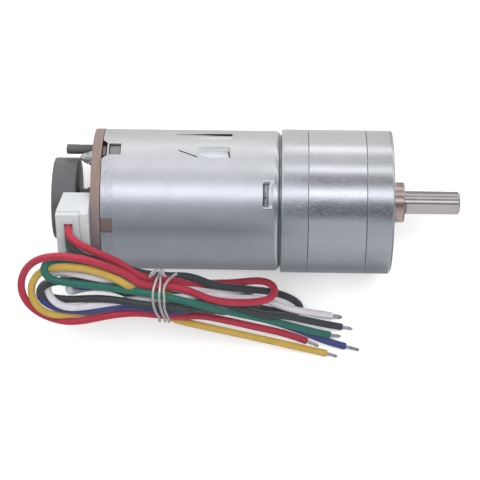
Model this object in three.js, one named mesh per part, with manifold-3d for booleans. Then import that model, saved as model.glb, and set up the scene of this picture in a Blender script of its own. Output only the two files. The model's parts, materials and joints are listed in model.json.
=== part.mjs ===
// A 25 mm spur-geared brushed dc motor with a two-channel magnetic encoder and a six-wire harness.
//
// Millimetres. The origin is the centre of the output shaft's end face. +X runs along the output
// shaft, away from the motor, and is called the front. +Z points up from the surface the motor lies
// on. The harness lies on the -Y side.
// Every X below is counted from the gearbox's front face; the last lines move the whole motor back
// by the shaft's length.

import * as THREE from "three";
import { mergeVertices } from "three/addons/utils/BufferGeometryUtils.js";
import Module from "manifold-3d";

const wasm = await Module();
wasm.setup();

// ---------------------------------------------------------------- driving dimensions

const SEAM = 0.05; // gap left between two pieces that bear on each other
const RUNNING_GAP = 0.08; // radial gap round a turning shaft or pin
const EDGE = 0.12; // chamfer where the gearbox casings meet

// gearbox casing
const GEARBOX_R = 12.5;
const CAVITY_R = 11.3;
const FRONT_COVER_L = 4.62;
const RING_L = 9.9;
const REAR_COVER_L = 4.63;
const GEARBOX_L = FRONT_COVER_L + RING_L + REAR_COVER_L;

// output shaft
const SHAFT_R = 2.0;
const SHAFT_END = 12.05;

// gear train: four equal stages on two fixed pins, back to the motor's own axis
const MODULE = 0.4;
const WHEEL_TEETH = 22;
const PINION_TEETH = 10;
const CENTRES = (MODULE * (WHEEL_TEETH + PINION_TEETH)) / 2;
const PIN_R = 0.75;
const PIN_A_ANGLE = 60; // from +Y towards +Z
const PIN_B_ANGLE = 120;

// motor
const CAN_R = 12.2;
const CAN_WALL = 1.0;
const CAN_INNER_R = CAN_R - CAN_WALL;
const CAN_FRONT = -19.3;
const CAN_REAR = -49.75;
const CAN_BOSS_R = 3.5;
const MOTOR_SHAFT_R = 1.0;
const PRESSED_BORE_R = MOTOR_SHAFT_R + 0.02; // in pieces that turn with the motor shaft
const BUSH_BORE_R = MOTOR_SHAFT_R + RUNNING_GAP;
const PINION_FRONT = -14.1; // also the motor shaft's front end
const TERMINAL_Y = 8.6;
const TERMINAL_Z = 1.6;

// ---------------------------------------------------------------- finishes

const insulation = (color) => ({ color, roughness: 0.42, metalness: 0 });

const FINISHES = {
  plated: { color: 0x9aa0a4, roughness: 0.38, metalness: 0.9 },
  platedBright: { color: 0xb6babc, roughness: 0.28, metalness: 0.95 },
  steel: { color: 0xaeb1b3, roughness: 0.3, metalness: 0.95 },
  can: { color: 0xc3c8cc, roughness: 0.3, metalness: 0.95 },
  bronze: { color: 0xb08a68, roughness: 0.45, metalness: 0.85 },
  brass: { color: 0xc2a04f, roughness: 0.4, metalness: 0.9 },
  copper: { color: 0xb5673a, roughness: 0.4, metalness: 0.9 },
  magnet: { color: 0x3c3d40, roughness: 0.7, metalness: 0.1 },
  brown: { color: 0x5a4a42, roughness: 0.6, metalness: 0 },
  board: { color: 0x7d6a5a, roughness: 0.6, metalness: 0 },
  black: { color: 0x1d1e20, roughness: 0.55, metalness: 0 },
  ceramic: { color: 0xa58f74, roughness: 0.5, metalness: 0 },
  ivory: { color: 0xe2e1dd, roughness: 0.45, metalness: 0 },
  solder: { color: 0xbfc2c4, roughness: 0.35, metalness: 0.9 },
};
const WIRE_FINISHES = {
  red: insulation(0xb83248),
  black: insulation(0x303436),
  green: insulation(0x1f6f56),
  blue: insulation(0x2a3580),
  yellow: insulation(0xcfa52e),
  white: insulation(0xdcd9de),
};

// ---------------------------------------------------------------- solids and meshes

const RAD = Math.PI / 180;
const X_AXIS = new THREE.Vector3(1, 0, 0);
const vec = (x, y, z) => new THREE.Vector3(x, y, z);

// a geometry as a solid, its shared vertices merged and its faces turned outwards
function solid(geometry) {
  const bare = geometry.index ? geometry.toNonIndexed() : geometry.clone();
  bare.deleteAttribute("normal");
  bare.deleteAttribute("uv");
  const merged = mergeVertices(bare, 1e-4);
  const points = merged.attributes.position.array;
  const index = merged.index.array;
  const corner = (i) => new THREE.Vector3().fromArray(points, 3 * i);
  const triangles = [];
  let volume = 0;
  for (let i = 0; i < index.length; i += 3) {
    const [a, b, c] = [index[i], index[i + 1], index[i + 2]];
    if (a === b || b === c || a === c) continue;
    triangles.push(a, b, c);
    volume += corner(a).dot(corner(b).cross(corner(c)));
  }
  if (volume < 0) {
    for (let i = 0; i < triangles.length; i += 3) {
      [triangles[i], triangles[i + 1]] = [triangles[i + 1], triangles[i]];
    }
  }
  return new wasm.Manifold(new wasm.Mesh({
    numProp: 3,
    vertProperties: new Float32Array(points),
    triVerts: new Uint32Array(triangles),
  }));
}

function geometryOf(shape) {
  const mesh = shape.getMesh();
  const geometry = new THREE.BufferGeometry();
  const positions = new Float32Array(mesh.vertProperties);
  geometry.setAttribute("position", new THREE.BufferAttribute(positions, 3));
  geometry.setIndex(new THREE.BufferAttribute(new Uint32Array(mesh.triVerts), 1));
  geometry.computeVertexNormals();
  return geometry;
}

function addPiece(parent, name, shape, finish, at = [0, 0, 0]) {
  const mesh = new THREE.Mesh(geometryOf(shape), new THREE.MeshStandardMaterial(finish));
  mesh.name = name;
  mesh.position.set(...at);
  parent.add(mesh);
}

const union = (shapes) => shapes.reduce((a, b) => a.add(b));
const cut = (shape, tools) => tools.reduce((a, b) => a.subtract(b), shape);

// ---------------------------------------------------------------- shapes
// A span is a [low, high] pair; xs, ys and zs are spans along the axes.

const around = (centre, half) => [centre - half, centre + half];
const rectangle = ([u0, u1], [v0, v1]) => [[u0, v0], [u1, v0], [u1, v1], [u0, v1]];

// [y, z] of a polar point about X, by the direction its angle in degrees starts from
const fromY = (r, angle) => [r * Math.cos(angle * RAD), r * Math.sin(angle * RAD)]; // towards +Z
const fromZ = (r, angle) => [r * Math.sin(angle * RAD), r * Math.cos(angle * RAD)]; // towards +Y

const ringPoints = (r, count) => Array.from({ length: count }, (_, i) => fromY(r, (-360 * i) / count));

// [radius, x] pairs turned about the X axis
function turned(profile, segments) {
  const points = profile.map(([r, x]) => new THREE.Vector2(r, x));
  if (profile[0][0] !== 0) points.push(points[0].clone());
  return solid(new THREE.LatheGeometry(points, segments).rotateZ(-Math.PI / 2));
}

const rod = (r, [x0, x1], segments) => turned([[0, x0], [r, x0], [r, x1], [0, x1]], segments);

// one rod at each [y, z] place
function rodsAt(places, r, xs, segments) {
  return places.map(([y, z]) => rod(r, xs, segments).translate([0, y, z]));
}

function block([x0, x1], [y0, y1], [z0, z1]) {
  const box = new THREE.BoxGeometry(x1 - x0, y1 - y0, z1 - z0);
  return solid(box.translate((x0 + x1) / 2, (y0 + y1) / 2, (z0 + z1) / 2));
}

const toShape = (points) => new THREE.Shape(points.map(([u, v]) => new THREE.Vector2(u, v)));

// an outline in the basis's first two axes, drawn out along its third
function prism(basis, points, [start, end], holes = []) {
  const shape = toShape(points);
  shape.holes.push(...holes.map(toShape));
  const settings = { depth: end - start, bevelEnabled: false, steps: 1 };
  const geometry = new THREE.ExtrudeGeometry(shape, settings).translate(0, 0, start);
  return solid(geometry.applyMatrix4(basis));
}

// an outline of [y, z] points, drawn out along X
const YZX = new THREE.Matrix4().makeBasis(vec(0, 1, 0), vec(0, 0, 1), X_AXIS);
const prismX = (points, xs, holes) => prism(YZX, points, xs, holes);

// a sector of a tube wall between two radii and two angles from +Z towards +Y
function sector([r0, r1], [a0, a1], xs, steps) {
  const outer = [];
  const inner = [];
  for (let i = 0; i <= steps; i++) {
    const angle = a0 + ((a1 - a0) * i) / steps;
    outer.push(fromZ(r1, angle));
    inner.push(fromZ(r0, angle));
  }
  return prismX([...outer, ...inner.reverse()], xs);
}

// a tube along a path
const TUBE_STEPS = 70;
const TUBE_SIDES = 5;
function tube(path, r) {
  const curve = new THREE.CatmullRomCurve3(path.map((p) => vec(...p)), false, "centripetal");
  const section = [];
  for (let i = 0; i < TUBE_SIDES; i++) section.push(fromY(r, (i * 360) / TUBE_SIDES));
  const settings = { steps: TUBE_STEPS, bevelEnabled: false, extrudePath: curve };
  return solid(new THREE.ExtrudeGeometry(toShape(section), settings));
}

// ---------------------------------------------------------------- gear train

const PIN_A = fromY(CENTRES, PIN_A_ANGLE);
const PIN_B = fromY(CENTRES, PIN_B_ANGLE);
const PINS = [PIN_A, PIN_B];
const PIN_BORE_R = PIN_R + RUNNING_GAP;
const BORE_SIDES = 12;
const CLUSTER_OVERLAP = 0.001; // joins a cluster's pinion to its wheel
const GEAR_SEAT_R = 1.6;
const GEAR_SEAT_FIT = 0.04;
const FLAT_TO_AXIS = 1.5; // the D-cut
const FLAT_START = 2.6;
const FLAT_ANGLE = -50; // where the flat faces, from +Z towards +Y
const GROOVE_R = 1.55;

// a gear with involute flanks; phase is its first tooth's angle from +Y towards +Z
function gear(teeth, xs, phase, boreR) {
  const pitchR = (MODULE * teeth) / 2;
  const tipR = pitchR + 0.86 * MODULE;
  const rootR = pitchR - 1.2 * MODULE;
  const pressure = 20 * RAD;
  const baseR = pitchR * Math.cos(pressure);
  const involute = (angle) => Math.tan(angle) - angle;
  const backlash = 0.055 / pitchR; // angle taken from each flank
  const baseHalf = Math.PI / (2 * teeth) + involute(pressure) - backlash;
  const halfAt = (r) => (r <= baseR ? baseHalf : baseHalf - involute(Math.acos(baseR / r)));
  const radii = [rootR, pitchR, tipR];
  const points = [];
  for (let i = 0; i < teeth; i++) {
    const centre = phase * RAD + (i * 2 * Math.PI) / teeth;
    const flank = (r, side) => {
      const angle = centre + side * halfAt(r);
      return [r * Math.cos(angle), r * Math.sin(angle)];
    };
    points.push(...radii.map((r) => flank(r, -1)));
    points.push(...radii.toReversed().map((r) => flank(r, 1)));
  }
  // the bore's polygon goes round its true circle
  const bore = ringPoints(boreR / Math.cos(Math.PI / BORE_SIDES), BORE_SIDES);
  return prismX(points, xs, [bore]);
}

// the phase at which a wheel meshes with a pinion of phase 0; along is the direction from the
// pinion's axis to the wheel's, from +Y towards +Z
function wheelPhase(along) {
  const pinionPitches = (along * PINION_TEETH) / 360;
  return along + 180 - ((0.5 - pinionPitches) * 360) / WHEEL_TEETH;
}

// a wheel from x0 to step with a pinion in front of it, up to x1
function cluster(along, [x0, step, x1]) {
  const wheel = gear(WHEEL_TEETH, [x0, step], wheelPhase(along), PIN_BORE_R);
  return wheel.add(gear(PINION_TEETH, [step - CLUSTER_OVERLAP, x1], 0, PIN_BORE_R));
}

// a step that seats the gear, a groove for the clip, and the D-cut end
function outputShaft() {
  const shaft = turned([
    [0, -8.3], [GEAR_SEAT_R - 0.05, -8.3], [GEAR_SEAT_R, -8.25], [GEAR_SEAT_R, -5.7],
    [SHAFT_R, -5.7], [SHAFT_R, -4.55], [GROOVE_R, -4.55], [GROOVE_R, -4.1],
    [SHAFT_R, -4.1], [SHAFT_R, SHAFT_END - 0.35], [SHAFT_R - 0.35, SHAFT_END], [0, SHAFT_END],
  ], 24);
  const length = SHAFT_END - FLAT_START + 2;
  const cutter = new THREE.BoxGeometry(length, 6, 2);
  cutter.translate(FLAT_START + length / 2, 0, FLAT_TO_AXIS + 1);
  return shaft.subtract(solid(cutter.rotateX(-FLAT_ANGLE * RAD)));
}

const drive = new THREE.Group();
const motorPinion = gear(PINION_TEETH, [-16.85, PINION_FRONT], 0, PRESSED_BORE_R);
addPiece(drive, "motor_pinion", motorPinion, FINISHES.brass);
// pin, direction from the driving pinion's axis, [wheel rear, step, pinion front]
[
  [PIN_A, PIN_A_ANGLE, [-16.6, -14.8, -11.6]],
  [PIN_B, 180, [-13.6, -11.8, -8.6]],
  [PIN_A, 0, [-10.6, -8.9, -5.6]],
].forEach(([pin, along, stations], i) => {
  const shape = cluster(along, stations);
  addPiece(drive, `cluster_gear_${i + 1}`, shape, FINISHES.steel, [0, ...pin]);
});
const outputPhase = wheelPhase(PIN_A_ANGLE + 180);
const outputGear = gear(WHEEL_TEETH, [-7.9, -5.75], outputPhase, GEAR_SEAT_R + GEAR_SEAT_FIT);
addPiece(drive, "output_gear", outputGear, FINISHES.steel);
addPiece(drive, "output_shaft", outputShaft(), FINISHES.steel);
// an open ring in the shaft's groove, its gap facing +Y
const clip = sector([1.62, 2.9], [60, -240], [-4.5, -4.15], 20);
addPiece(drive, "retaining_clip", clip, FINISHES.steel);

// ---------------------------------------------------------------- gearbox casing

const FRONT_PLATE_T = 2.4;
const REAR_PLATE_T = 2.15;
const THROUGH_FRONT = [-3, 1]; // cutter spans through the end plates
const THROUGH_REAR = [-GEARBOX_L - 1, -16];
const MOUNT_SPACING = 17.0; // between the two tapped M3 mounting holes
const MOUNT_HOLES = [[MOUNT_SPACING / 2, 0], [-MOUNT_SPACING / 2, 0]];
const MOUNT_HOLE_R = 1.3;
const COVER_SCREWS = [90, 210, 330].map((angle) => fromY(10.4, angle));
const COVER_SCREW_R = 0.8;
const COVER_SCREW_HEAD_R = 1.45;
const COVER_SCREW_HOLE_R = COVER_SCREW_R + 0.08;
const PIN_HOLE_R = PIN_R + 0.05;
const MOTOR_SCREWS = [[8, 0], [-8, 0]];
const MOTOR_SCREW_HOLE_R = 1.1;
const BUSH_FLANGE_R = 3.5;
const BUSH_BODY_R = BUSH_FLANGE_R - 0.5;
const BUSH_PROUD = 2.35;

function frontCover() {
  const body = turned([
    [0, -FRONT_PLATE_T], [CAVITY_R, -FRONT_PLATE_T], [CAVITY_R, -FRONT_COVER_L],
    [GEARBOX_R - EDGE, -FRONT_COVER_L], [GEARBOX_R, -FRONT_COVER_L + EDGE],
    [GEARBOX_R, -0.55], [GEARBOX_R - 0.16, -0.16], [GEARBOX_R - 0.55, 0], [0, 0],
  ], 40);
  return cut(body, [
    rod(BUSH_BODY_R + 0.05, THROUGH_FRONT, 24),
    // shallow recess behind the bush's flange
    rod(BUSH_FLANGE_R + 0.15, [-0.5, 1], 48),
    ...rodsAt(MOUNT_HOLES, MOUNT_HOLE_R, THROUGH_FRONT, 14),
    ...rodsAt(COVER_SCREWS, COVER_SCREW_HOLE_R, THROUGH_FRONT, 10),
    ...rodsAt(COVER_SCREWS, COVER_SCREW_HEAD_R + 0.12, [-1.25, 1], 14),
    ...rodsAt(PINS, PIN_HOLE_R, [-3, -1.3], 12),
  ]);
}

function casingRing() {
  const front = -FRONT_COVER_L - SEAM;
  const rear = -FRONT_COVER_L - RING_L;
  return turned([
    [CAVITY_R, rear], [GEARBOX_R - EDGE, rear], [GEARBOX_R, rear + EDGE],
    [GEARBOX_R, front - EDGE], [GEARBOX_R - EDGE, front], [CAVITY_R, front],
  ], 40);
}

function rearCover() {
  const front = -FRONT_COVER_L - RING_L - SEAM;
  const plateFront = -GEARBOX_L + REAR_PLATE_T;
  const body = turned([
    [0, -GEARBOX_L], [GEARBOX_R - 0.3, -GEARBOX_L], [GEARBOX_R, -GEARBOX_L + 0.3],
    [GEARBOX_R, front - EDGE], [GEARBOX_R - EDGE, front], [CAVITY_R, front],
    [CAVITY_R, plateFront], [0, plateFront],
  ], 40);
  return cut(body, [
    rod(CAN_BOSS_R + 0.1, THROUGH_REAR, 24),
    ...rodsAt(COVER_SCREWS, COVER_SCREW_HOLE_R, [-GEARBOX_L + 0.5, -16], 10),
    ...rodsAt(PINS, PIN_HOLE_R, [-GEARBOX_L + 0.6, -16], 12),
    ...rodsAt(MOTOR_SCREWS, MOTOR_SCREW_HOLE_R, THROUGH_REAR, 12),
    ...rodsAt(MOTOR_SCREWS, 1.8, [-17.95, -16], 14),
  ]);
}

function outputBush() {
  const bore = SHAFT_R + RUNNING_GAP;
  const flangeRear = 0.04;
  return turned([
    [bore, -3.95], [BUSH_BODY_R, -3.95], [BUSH_BODY_R, flangeRear], [BUSH_FLANGE_R, flangeRear],
    [BUSH_FLANGE_R, BUSH_PROUD - 0.3], [BUSH_FLANGE_R - 0.3, BUSH_PROUD], [bore, BUSH_PROUD],
  ], 24);
}

// a long screw from the front cover to the rear cover, with a cross recess
function coverScrew() {
  const tip = -GEARBOX_L + 0.6;
  const headRear = -1.2;
  const body = turned([
    [0, tip], [COVER_SCREW_R, tip], [COVER_SCREW_R, headRear], [COVER_SCREW_HEAD_R, headRear],
    [COVER_SCREW_HEAD_R, -0.35], [COVER_SCREW_HEAD_R - 0.25, -0.1], [0, -0.1],
  ], 12);
  const [long, wide, deep] = [around(0, 0.85), around(0, 0.16), [-0.6, 0.2]];
  return cut(body, [block(deep, long, wide), block(deep, wide, long)]);
}

// a slotted screw that holds the can to the rear cover
function motorScrew() {
  const body = turned([
    [0, -20.9], [1.0, -20.9], [1.0, -17.9], [1.65, -17.9], [1.65, -17.1], [0, -17.1],
  ], 12);
  return body.subtract(block([-17.6, -16.9], around(0, 1.1), around(0, 0.2)));
}

const gearbox = new THREE.Group();
addPiece(gearbox, "gearbox_front_cover", frontCover(), FINISHES.plated);
addPiece(gearbox, "gearbox_ring", casingRing(), FINISHES.platedBright);
addPiece(gearbox, "gearbox_rear_cover", rearCover(), FINISHES.plated);
addPiece(gearbox, "output_bush", outputBush(), FINISHES.bronze);
COVER_SCREWS.forEach((place, i) => {
  addPiece(gearbox, `cover_screw_${i + 1}`, coverScrew(), FINISHES.steel, [0, ...place]);
});
PINS.forEach((place, i) => {
  const pin = rod(PIN_R, [-18.5, -1.35], 12);
  addPiece(gearbox, `gear_pin_${"ab"[i]}`, pin, FINISHES.steel, [0, ...place]);
});
MOTOR_SCREWS.forEach((place, i) => {
  addPiece(gearbox, `motor_screw_${i + 1}`, motorScrew(), FINISHES.steel, [0, ...place]);
});

// ---------------------------------------------------------------- motor can and magnets

const CAN_BOSS_FRONT = CAN_FRONT + 1.6;
const BUSH_SEAT_R = MOTOR_SHAFT_R + 1.9;
const MAGNET_RADII = [8.9, 11.1];
const MAGNET_GAP_ANGLE = 54; // one of the two gaps, from +Z towards +Y
const MAGNET_HALF_ANGLE = 67;
const CLIP_XS = [-41.5, -25.5];

// a prism cut radially through the can's wall; corners are [x, degrees from +Z towards +Y]
function radialCut(corners, innerR = 10.6, outerR = 13) {
  const middle = corners.reduce((sum, [, angle]) => sum + angle, 0) / corners.length;
  const side = vec(0, ...fromZ(1, middle + 90));
  const out = vec(0, ...fromZ(1, middle));
  const points = corners.map(([x, angle]) => [x, CAN_R * Math.sin((angle - middle) * RAD)]);
  return prism(new THREE.Matrix4().makeBasis(X_AXIS, side, out), points, [innerR, outerR]);
}

// the openings at the can's rear rim, turned about X
const rimNotches = (turn) => [
  // square notch
  rectangle([-51, -47.6], [-27.6, -14.4]),
  // flared notch
  [[-51, 31], [-48.9, 36.4], [-48.9, 49.4], [-51, 56]],
  // window in front of the flared notch
  rectangle([-48.65, -46.5], [37, 50]),
].map((corners) => radialCut(corners.map(([x, angle]) => [x, angle + turn])));

// closed front with a bearing boss, open rear
function motorCan() {
  const plateRear = CAN_FRONT - CAN_WALL;
  const boreR = MOTOR_SHAFT_R + 0.5;
  const body = turned([
    [BUSH_SEAT_R, plateRear], [CAN_INNER_R - 0.6, plateRear], [CAN_INNER_R, plateRear - 0.6],
    [CAN_INNER_R, CAN_REAR], [CAN_R, CAN_REAR], [CAN_R, CAN_FRONT - 1.35],
    [CAN_R - 0.22, CAN_FRONT - 0.6], [CAN_R - 0.7, CAN_FRONT - 0.16], [CAN_R - 1.4, CAN_FRONT],
    [CAN_BOSS_R, CAN_FRONT], [CAN_BOSS_R, CAN_BOSS_FRONT], [boreR, CAN_BOSS_FRONT],
    [boreR, CAN_BOSS_FRONT - 0.5], [BUSH_SEAT_R, CAN_BOSS_FRONT - 0.5],
  ], 40);
  return cut(body, [
    ...rimNotches(0),
    ...rimNotches(180),
    // a long slit, a slanting opening and a short slit round the can
    radialCut(rectangle([-37.1, -27.5], [64.2, 66.6])),
    radialCut([[-37.0, 47.4], [-33.5, 36.2], [-32.9, 36.8], [-36.3, 47.4]]),
    radialCut(rectangle([-28.1, -27.5], [34.5, 47.5])),
    // the shallow oblong pocket near the front
    radialCut(rectangle([-22.2, -20.5], [-5.0, 13.0]), 11.7),
    ...rodsAt(MOTOR_SCREWS, MOTOR_SCREW_HOLE_R, [-21, -19], 12),
  ]);
}

// a plain sleeve on the motor's axis
function sleeve(innerR, outerR, [x0, x1], segments) {
  return turned([[innerR, x0], [outerR, x0], [outerR, x1], [innerR, x1]], segments);
}

// a strip along the can's wall between the magnets, with two hooked ends
function magnetClip() {
  const middle = MAGNET_GAP_ANGLE + 180;
  return union([
    sector([10.5, 11.1], around(middle, 19), CLIP_XS, 6),
    sector([9.2, 10.6], [middle - 19, middle - 16], CLIP_XS, 2),
    sector([9.2, 10.6], [middle + 16, middle + 19], CLIP_XS, 2),
  ]);
}

const motor = new THREE.Group();
addPiece(motor, "motor_can", motorCan(), FINISHES.can);
const frontBush = sleeve(BUSH_BORE_R, 2.82, [-20.6, -18.3], 20);
addPiece(motor, "front_bush", frontBush, FINISHES.bronze);
["magnet_a", "magnet_b"].forEach((name, i) => {
  const angles = around(MAGNET_GAP_ANGLE + 90 + 180 * i, MAGNET_HALF_ANGLE);
  addPiece(motor, name, sector(MAGNET_RADII, angles, [-42.5, -24.5], 14), FINISHES.magnet);
});
addPiece(motor, "magnet_clip", magnetClip(), FINISHES.steel);

// ---------------------------------------------------------------- rotor

const ARMATURE_R = 8.35;
const POLES = 3;
const POLE_FACETS = 6; // across one pole shoe
const STEM_HALF = 1.9;
const STEM_INNER = 2.9;
const STEM_OUTER = 6.5;
const SHOE_HALF_ANGLE = 50;

function motorShaft() {
  const rear = -58.2;
  const chamfer = 0.15;
  return turned([
    [0, rear], [MOTOR_SHAFT_R - chamfer, rear], [MOTOR_SHAFT_R, rear + chamfer],
    [MOTOR_SHAFT_R, PINION_FRONT - chamfer], [MOTOR_SHAFT_R - chamfer, PINION_FRONT],
    [0, PINION_FRONT],
  ], 20);
}

// [y, z] outline of the pole shoes on stems round a hub, widened by grow
function poleOutline(shoeR, grow) {
  const points = [];
  for (let pole = 0; pole < POLES; pole++) {
    const angle = 90 + (pole * 360) / POLES;
    const [cos, sin] = fromY(1, angle);
    const stem = (r, side) => {
      const across = side * (STEM_HALF + grow);
      return [r * cos - across * sin, r * sin + across * cos];
    };
    points.push(stem(STEM_INNER + grow, -1), stem(STEM_OUTER - grow, -1));
    for (let i = 0; i <= POLE_FACETS; i++) {
      const isTip = i === 0 || i === POLE_FACETS;
      const r = isTip ? ARMATURE_R - 0.9 - grow : shoeR;
      points.push(fromY(r, angle + (SHOE_HALF_ANGLE + 8 * grow) * ((2 * i) / POLE_FACETS - 1)));
    }
    points.push(stem(STEM_OUTER - grow, 1), stem(STEM_INNER + grow, 1));
  }
  return points;
}

// enamelled wire: filled slots between the poles, joined by the end turns
function winding() {
  const body = turned([
    [2.6, -43.2], [6.6, -43.2], [7.2, -42.4], [7.2, -25.6], [6.6, -24.8], [2.6, -24.8],
  ], 18);
  return body.subtract(prismX(poleOutline(ARMATURE_R + 0.5, 0.12), [-40.6, -27.4]));
}

function commutator() {
  return turned([
    [PRESSED_BORE_R, -46.6], [2.4, -46.6], [2.4, -44.2], [3.1, -44.2], [3.1, -43.6],
    [PRESSED_BORE_R, -43.6],
  ], 20);
}

addPiece(motor, "motor_shaft", motorShaft(), FINISHES.steel);
const shaftHole = ringPoints(PRESSED_BORE_R, 20);
const core = prismX(poleOutline(ARMATURE_R, 0), [-40.5, -27.5], [shaftHole]);
addPiece(motor, "armature_core", core, FINISHES.steel);
addPiece(motor, "armature_winding", winding(), FINISHES.copper);
addPiece(motor, "commutator", commutator(), FINISHES.copper);
addPiece(motor, "shaft_spacer", sleeve(PRESSED_BORE_R, 2.0, [-24.2, -21.0], 16), FINISHES.brown);

// ---------------------------------------------------------------- end cap, terminals and brushes

// the slots that the two terminals pass through
function terminalSlots(xs, halfY, halfZ) {
  return [1, -1].map((side) => (
    block(xs, around(side * TERMINAL_Y, halfY), around(side * TERMINAL_Z, halfZ))
  ));
}

// a moulded plate with the bush seat, whose tabs fill the can's rim notches
function endCap() {
  const r = CAN_INNER_R - SEAM;
  const lipR = r - 1.4;
  const body = turned([
    [0, -49.7], [r, -49.7], [r, -46.2], [lipR, -46.2], [lipR, -48.1], [0, -48.1],
  ], 32);
  const plate = body.subtract(rod(2.9, [-50, -47], 20));
  const tabs = [0, 180].flatMap((turn) => [
    sector([r - 1, CAN_R - 0.12], [-26.8 + turn, -15.2 + turn], [-49.7, -47.75], 4),
    sector([r - 1, CAN_R - 0.5], [38.0 + turn, 48.2 + turn], [-49.7, -49.1], 4),
    sector([r - 1, CAN_R - 0.45], [38.2 + turn, 48.8 + turn], [-48.4, -46.75], 4),
  ]);
  return cut(union([plate, ...tabs]), terminalSlots([-50, -47], 0.3, 1.1));
}

// a Y span on the +Y side (side 1) or mirrored to the -Y side (side -1)
const onSide = (side, near, far) => (side > 0 ? [near, far] : [-far, -near]);

// a flat tab from inside the cap out through the board
function terminal(side) {
  const z = side * TERMINAL_Z;
  return union([
    block([-47.9, -46.9], onSide(side, 5.2, 9.0), around(z, 0.9)),
    block([-52.2, -46.95], around(side * TERMINAL_Y, 0.22), around(z, 0.8)),
  ]);
}

// a pad beside the commutator on a leaf that runs outwards
function brush(side) {
  const zs = around(0, 1.1);
  return union([
    block([-46.5, -44.6], onSide(side, 2.5, 3.3), zs),
    block([-46.75, -46.45], onSide(side, 2.5, 8.6), zs),
  ]);
}

addPiece(motor, "end_cap", endCap(), FINISHES.brown);
addPiece(motor, "rear_bush", sleeve(BUSH_BORE_R, 2.8, [-49.6, -47.4], 20), FINISHES.bronze);
[["a", 1], ["b", -1]].forEach(([letter, side]) => {
  addPiece(motor, `motor_terminal_${letter}`, terminal(side), FINISHES.brass);
  addPiece(motor, `brush_${letter}`, brush(side), FINISHES.copper);
});

// ---------------------------------------------------------------- encoder

const BOARD_R = 12.25;
const BOARD_XS = [-51.4, -49.95];
const ON_BOARD = BOARD_XS[0] - SEAM; // where parts on the board's rear face start
const DISC_R = 7.1;
const DISC_FRONT = -54.35;
const DISC_REAR = -58.6;
const DISC_CHAMFER = 0.3;

// name, rear x, ys, zs, finish
const BOARD_PARTS = [
  ["hall_sensor_a", -53.4, [-2.0, 2.0], [-6.9, -3.9], FINISHES.black],
  ["hall_sensor_b", -53.4, [-6.9, -3.9], [-4.6, -0.6], FINISHES.black],
  ["board_resistor_a", -51.95, [1.6, 3.6], [-10.1, -8.9], FINISHES.black],
  ["board_resistor_b", -51.95, [-2.6, -0.6], [-10.1, -8.9], FINISHES.black],
  ["board_capacitor", -52.3, [6.4, 8.4], [-6.9, -5.6], FINISHES.ceramic],
];

// the magnet disc, with a thin neck in front and a recess in its rear face
function encoderMagnet() {
  return turned([
    [PRESSED_BORE_R, -58.3], [2.2, -58.3], [2.2, DISC_REAR], [DISC_R - DISC_CHAMFER, DISC_REAR],
    [DISC_R, DISC_REAR + DISC_CHAMFER], [DISC_R, DISC_FRONT - DISC_CHAMFER],
    [DISC_R - DISC_CHAMFER, DISC_FRONT], [1.7, DISC_FRONT], [1.7, -52.0],
    [PRESSED_BORE_R, -52.0],
  ], 30);
}

function terminalSolder() {
  return turned([
    [0, -53.4], [0.45, -53.4], [1.15, -51.6], [1.15, ON_BOARD], [0, ON_BOARD],
  ], 14);
}

const encoder = new THREE.Group();
const board = cut(sleeve(1.7, BOARD_R, BOARD_XS, 36), terminalSlots([-52, -49], 0.32, 0.95));
addPiece(encoder, "encoder_board", board, FINISHES.board);
addPiece(encoder, "encoder_magnet", encoderMagnet(), FINISHES.magnet);
BOARD_PARTS.forEach(([name, rear, ys, zs, finish]) => {
  addPiece(encoder, name, block([rear, ON_BOARD], ys, zs), finish);
});
const terminalSleeve = rod(0.8, [-56.6, -52.3], 14);
const sleevePlace = [0, TERMINAL_Y + 0.1, TERMINAL_Z];
addPiece(encoder, "terminal_sleeve", terminalSleeve, FINISHES.black, sleevePlace);
addPiece(encoder, "terminal_solder", terminalSolder(), FINISHES.solder, [0, 7.0, 2.9]);

// ---------------------------------------------------------------- connector
// Its frame: outwards from the axis, X along the motor, and across, along the row of wires.

const CONN_ANGLE = 38.1; // from +Z towards -Y
const CONN_INNER = 7.4;
const CONN_MOUTH = 12.7;
const CONN_OUTER = 13.7;
const CONN_REAR = -56.95;
const CONN_LOW = -7.35; // ends of the row's span
const CONN_HIGH = 6.95;
const WIRE_X = -54.85;
const WIRE_COUNT = 6;
const FIRST_SLOT = 4.2;
const SLOT_PITCH = 1.95;
const SLOT_HALF = 0.72;

const outwards = vec(0, ...fromZ(1, -CONN_ANGLE));
const across = vec(0, ...fromY(1, CONN_ANGLE));
const CONN_BASIS = new THREE.Matrix4().makeBasis(outwards, X_AXIS, across);
const connBox = (outs, xs, span) => prism(CONN_BASIS, rectangle(outs, xs), span);
const rowInset = (inset) => [CONN_LOW + inset, CONN_HIGH - inset];

function connectorHeader() {
  const outline = [
    [CONN_INNER, ON_BOARD], [CONN_MOUTH, ON_BOARD], [CONN_MOUTH, CONN_REAR], [CONN_INNER, -56.15],
  ];
  const lip = connBox([CONN_MOUTH - 0.1, CONN_OUTER - 0.15], [-52.95, ON_BOARD], rowInset(0));
  const pocket = connBox([8.3, 15], [-55.9, -53.0], rowInset(0.75));
  return prism(CONN_BASIS, outline, rowInset(0)).add(lip).subtract(pocket);
}

function connectorPlug() {
  const body = connBox([8.45, 13], [-55.82, -53.08], rowInset(0.85));
  const head = connBox([CONN_MOUTH + 0.06, CONN_OUTER], [CONN_REAR, -53.06], rowInset(0.1));
  const slots = [];
  for (let i = 0; i < WIRE_COUNT; i++) {
    const slot = around(FIRST_SLOT - SLOT_PITCH * i, SLOT_HALF);
    slots.push(connBox([12.0, 14.5], around(WIRE_X, SLOT_HALF), slot));
  }
  return cut(body.add(head), slots);
}

const harness = new THREE.Group();
addPiece(encoder, "connector_header", connectorHeader(), FINISHES.ivory);
addPiece(harness, "connector_plug", connectorPlug(), FINISHES.ivory);

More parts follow.
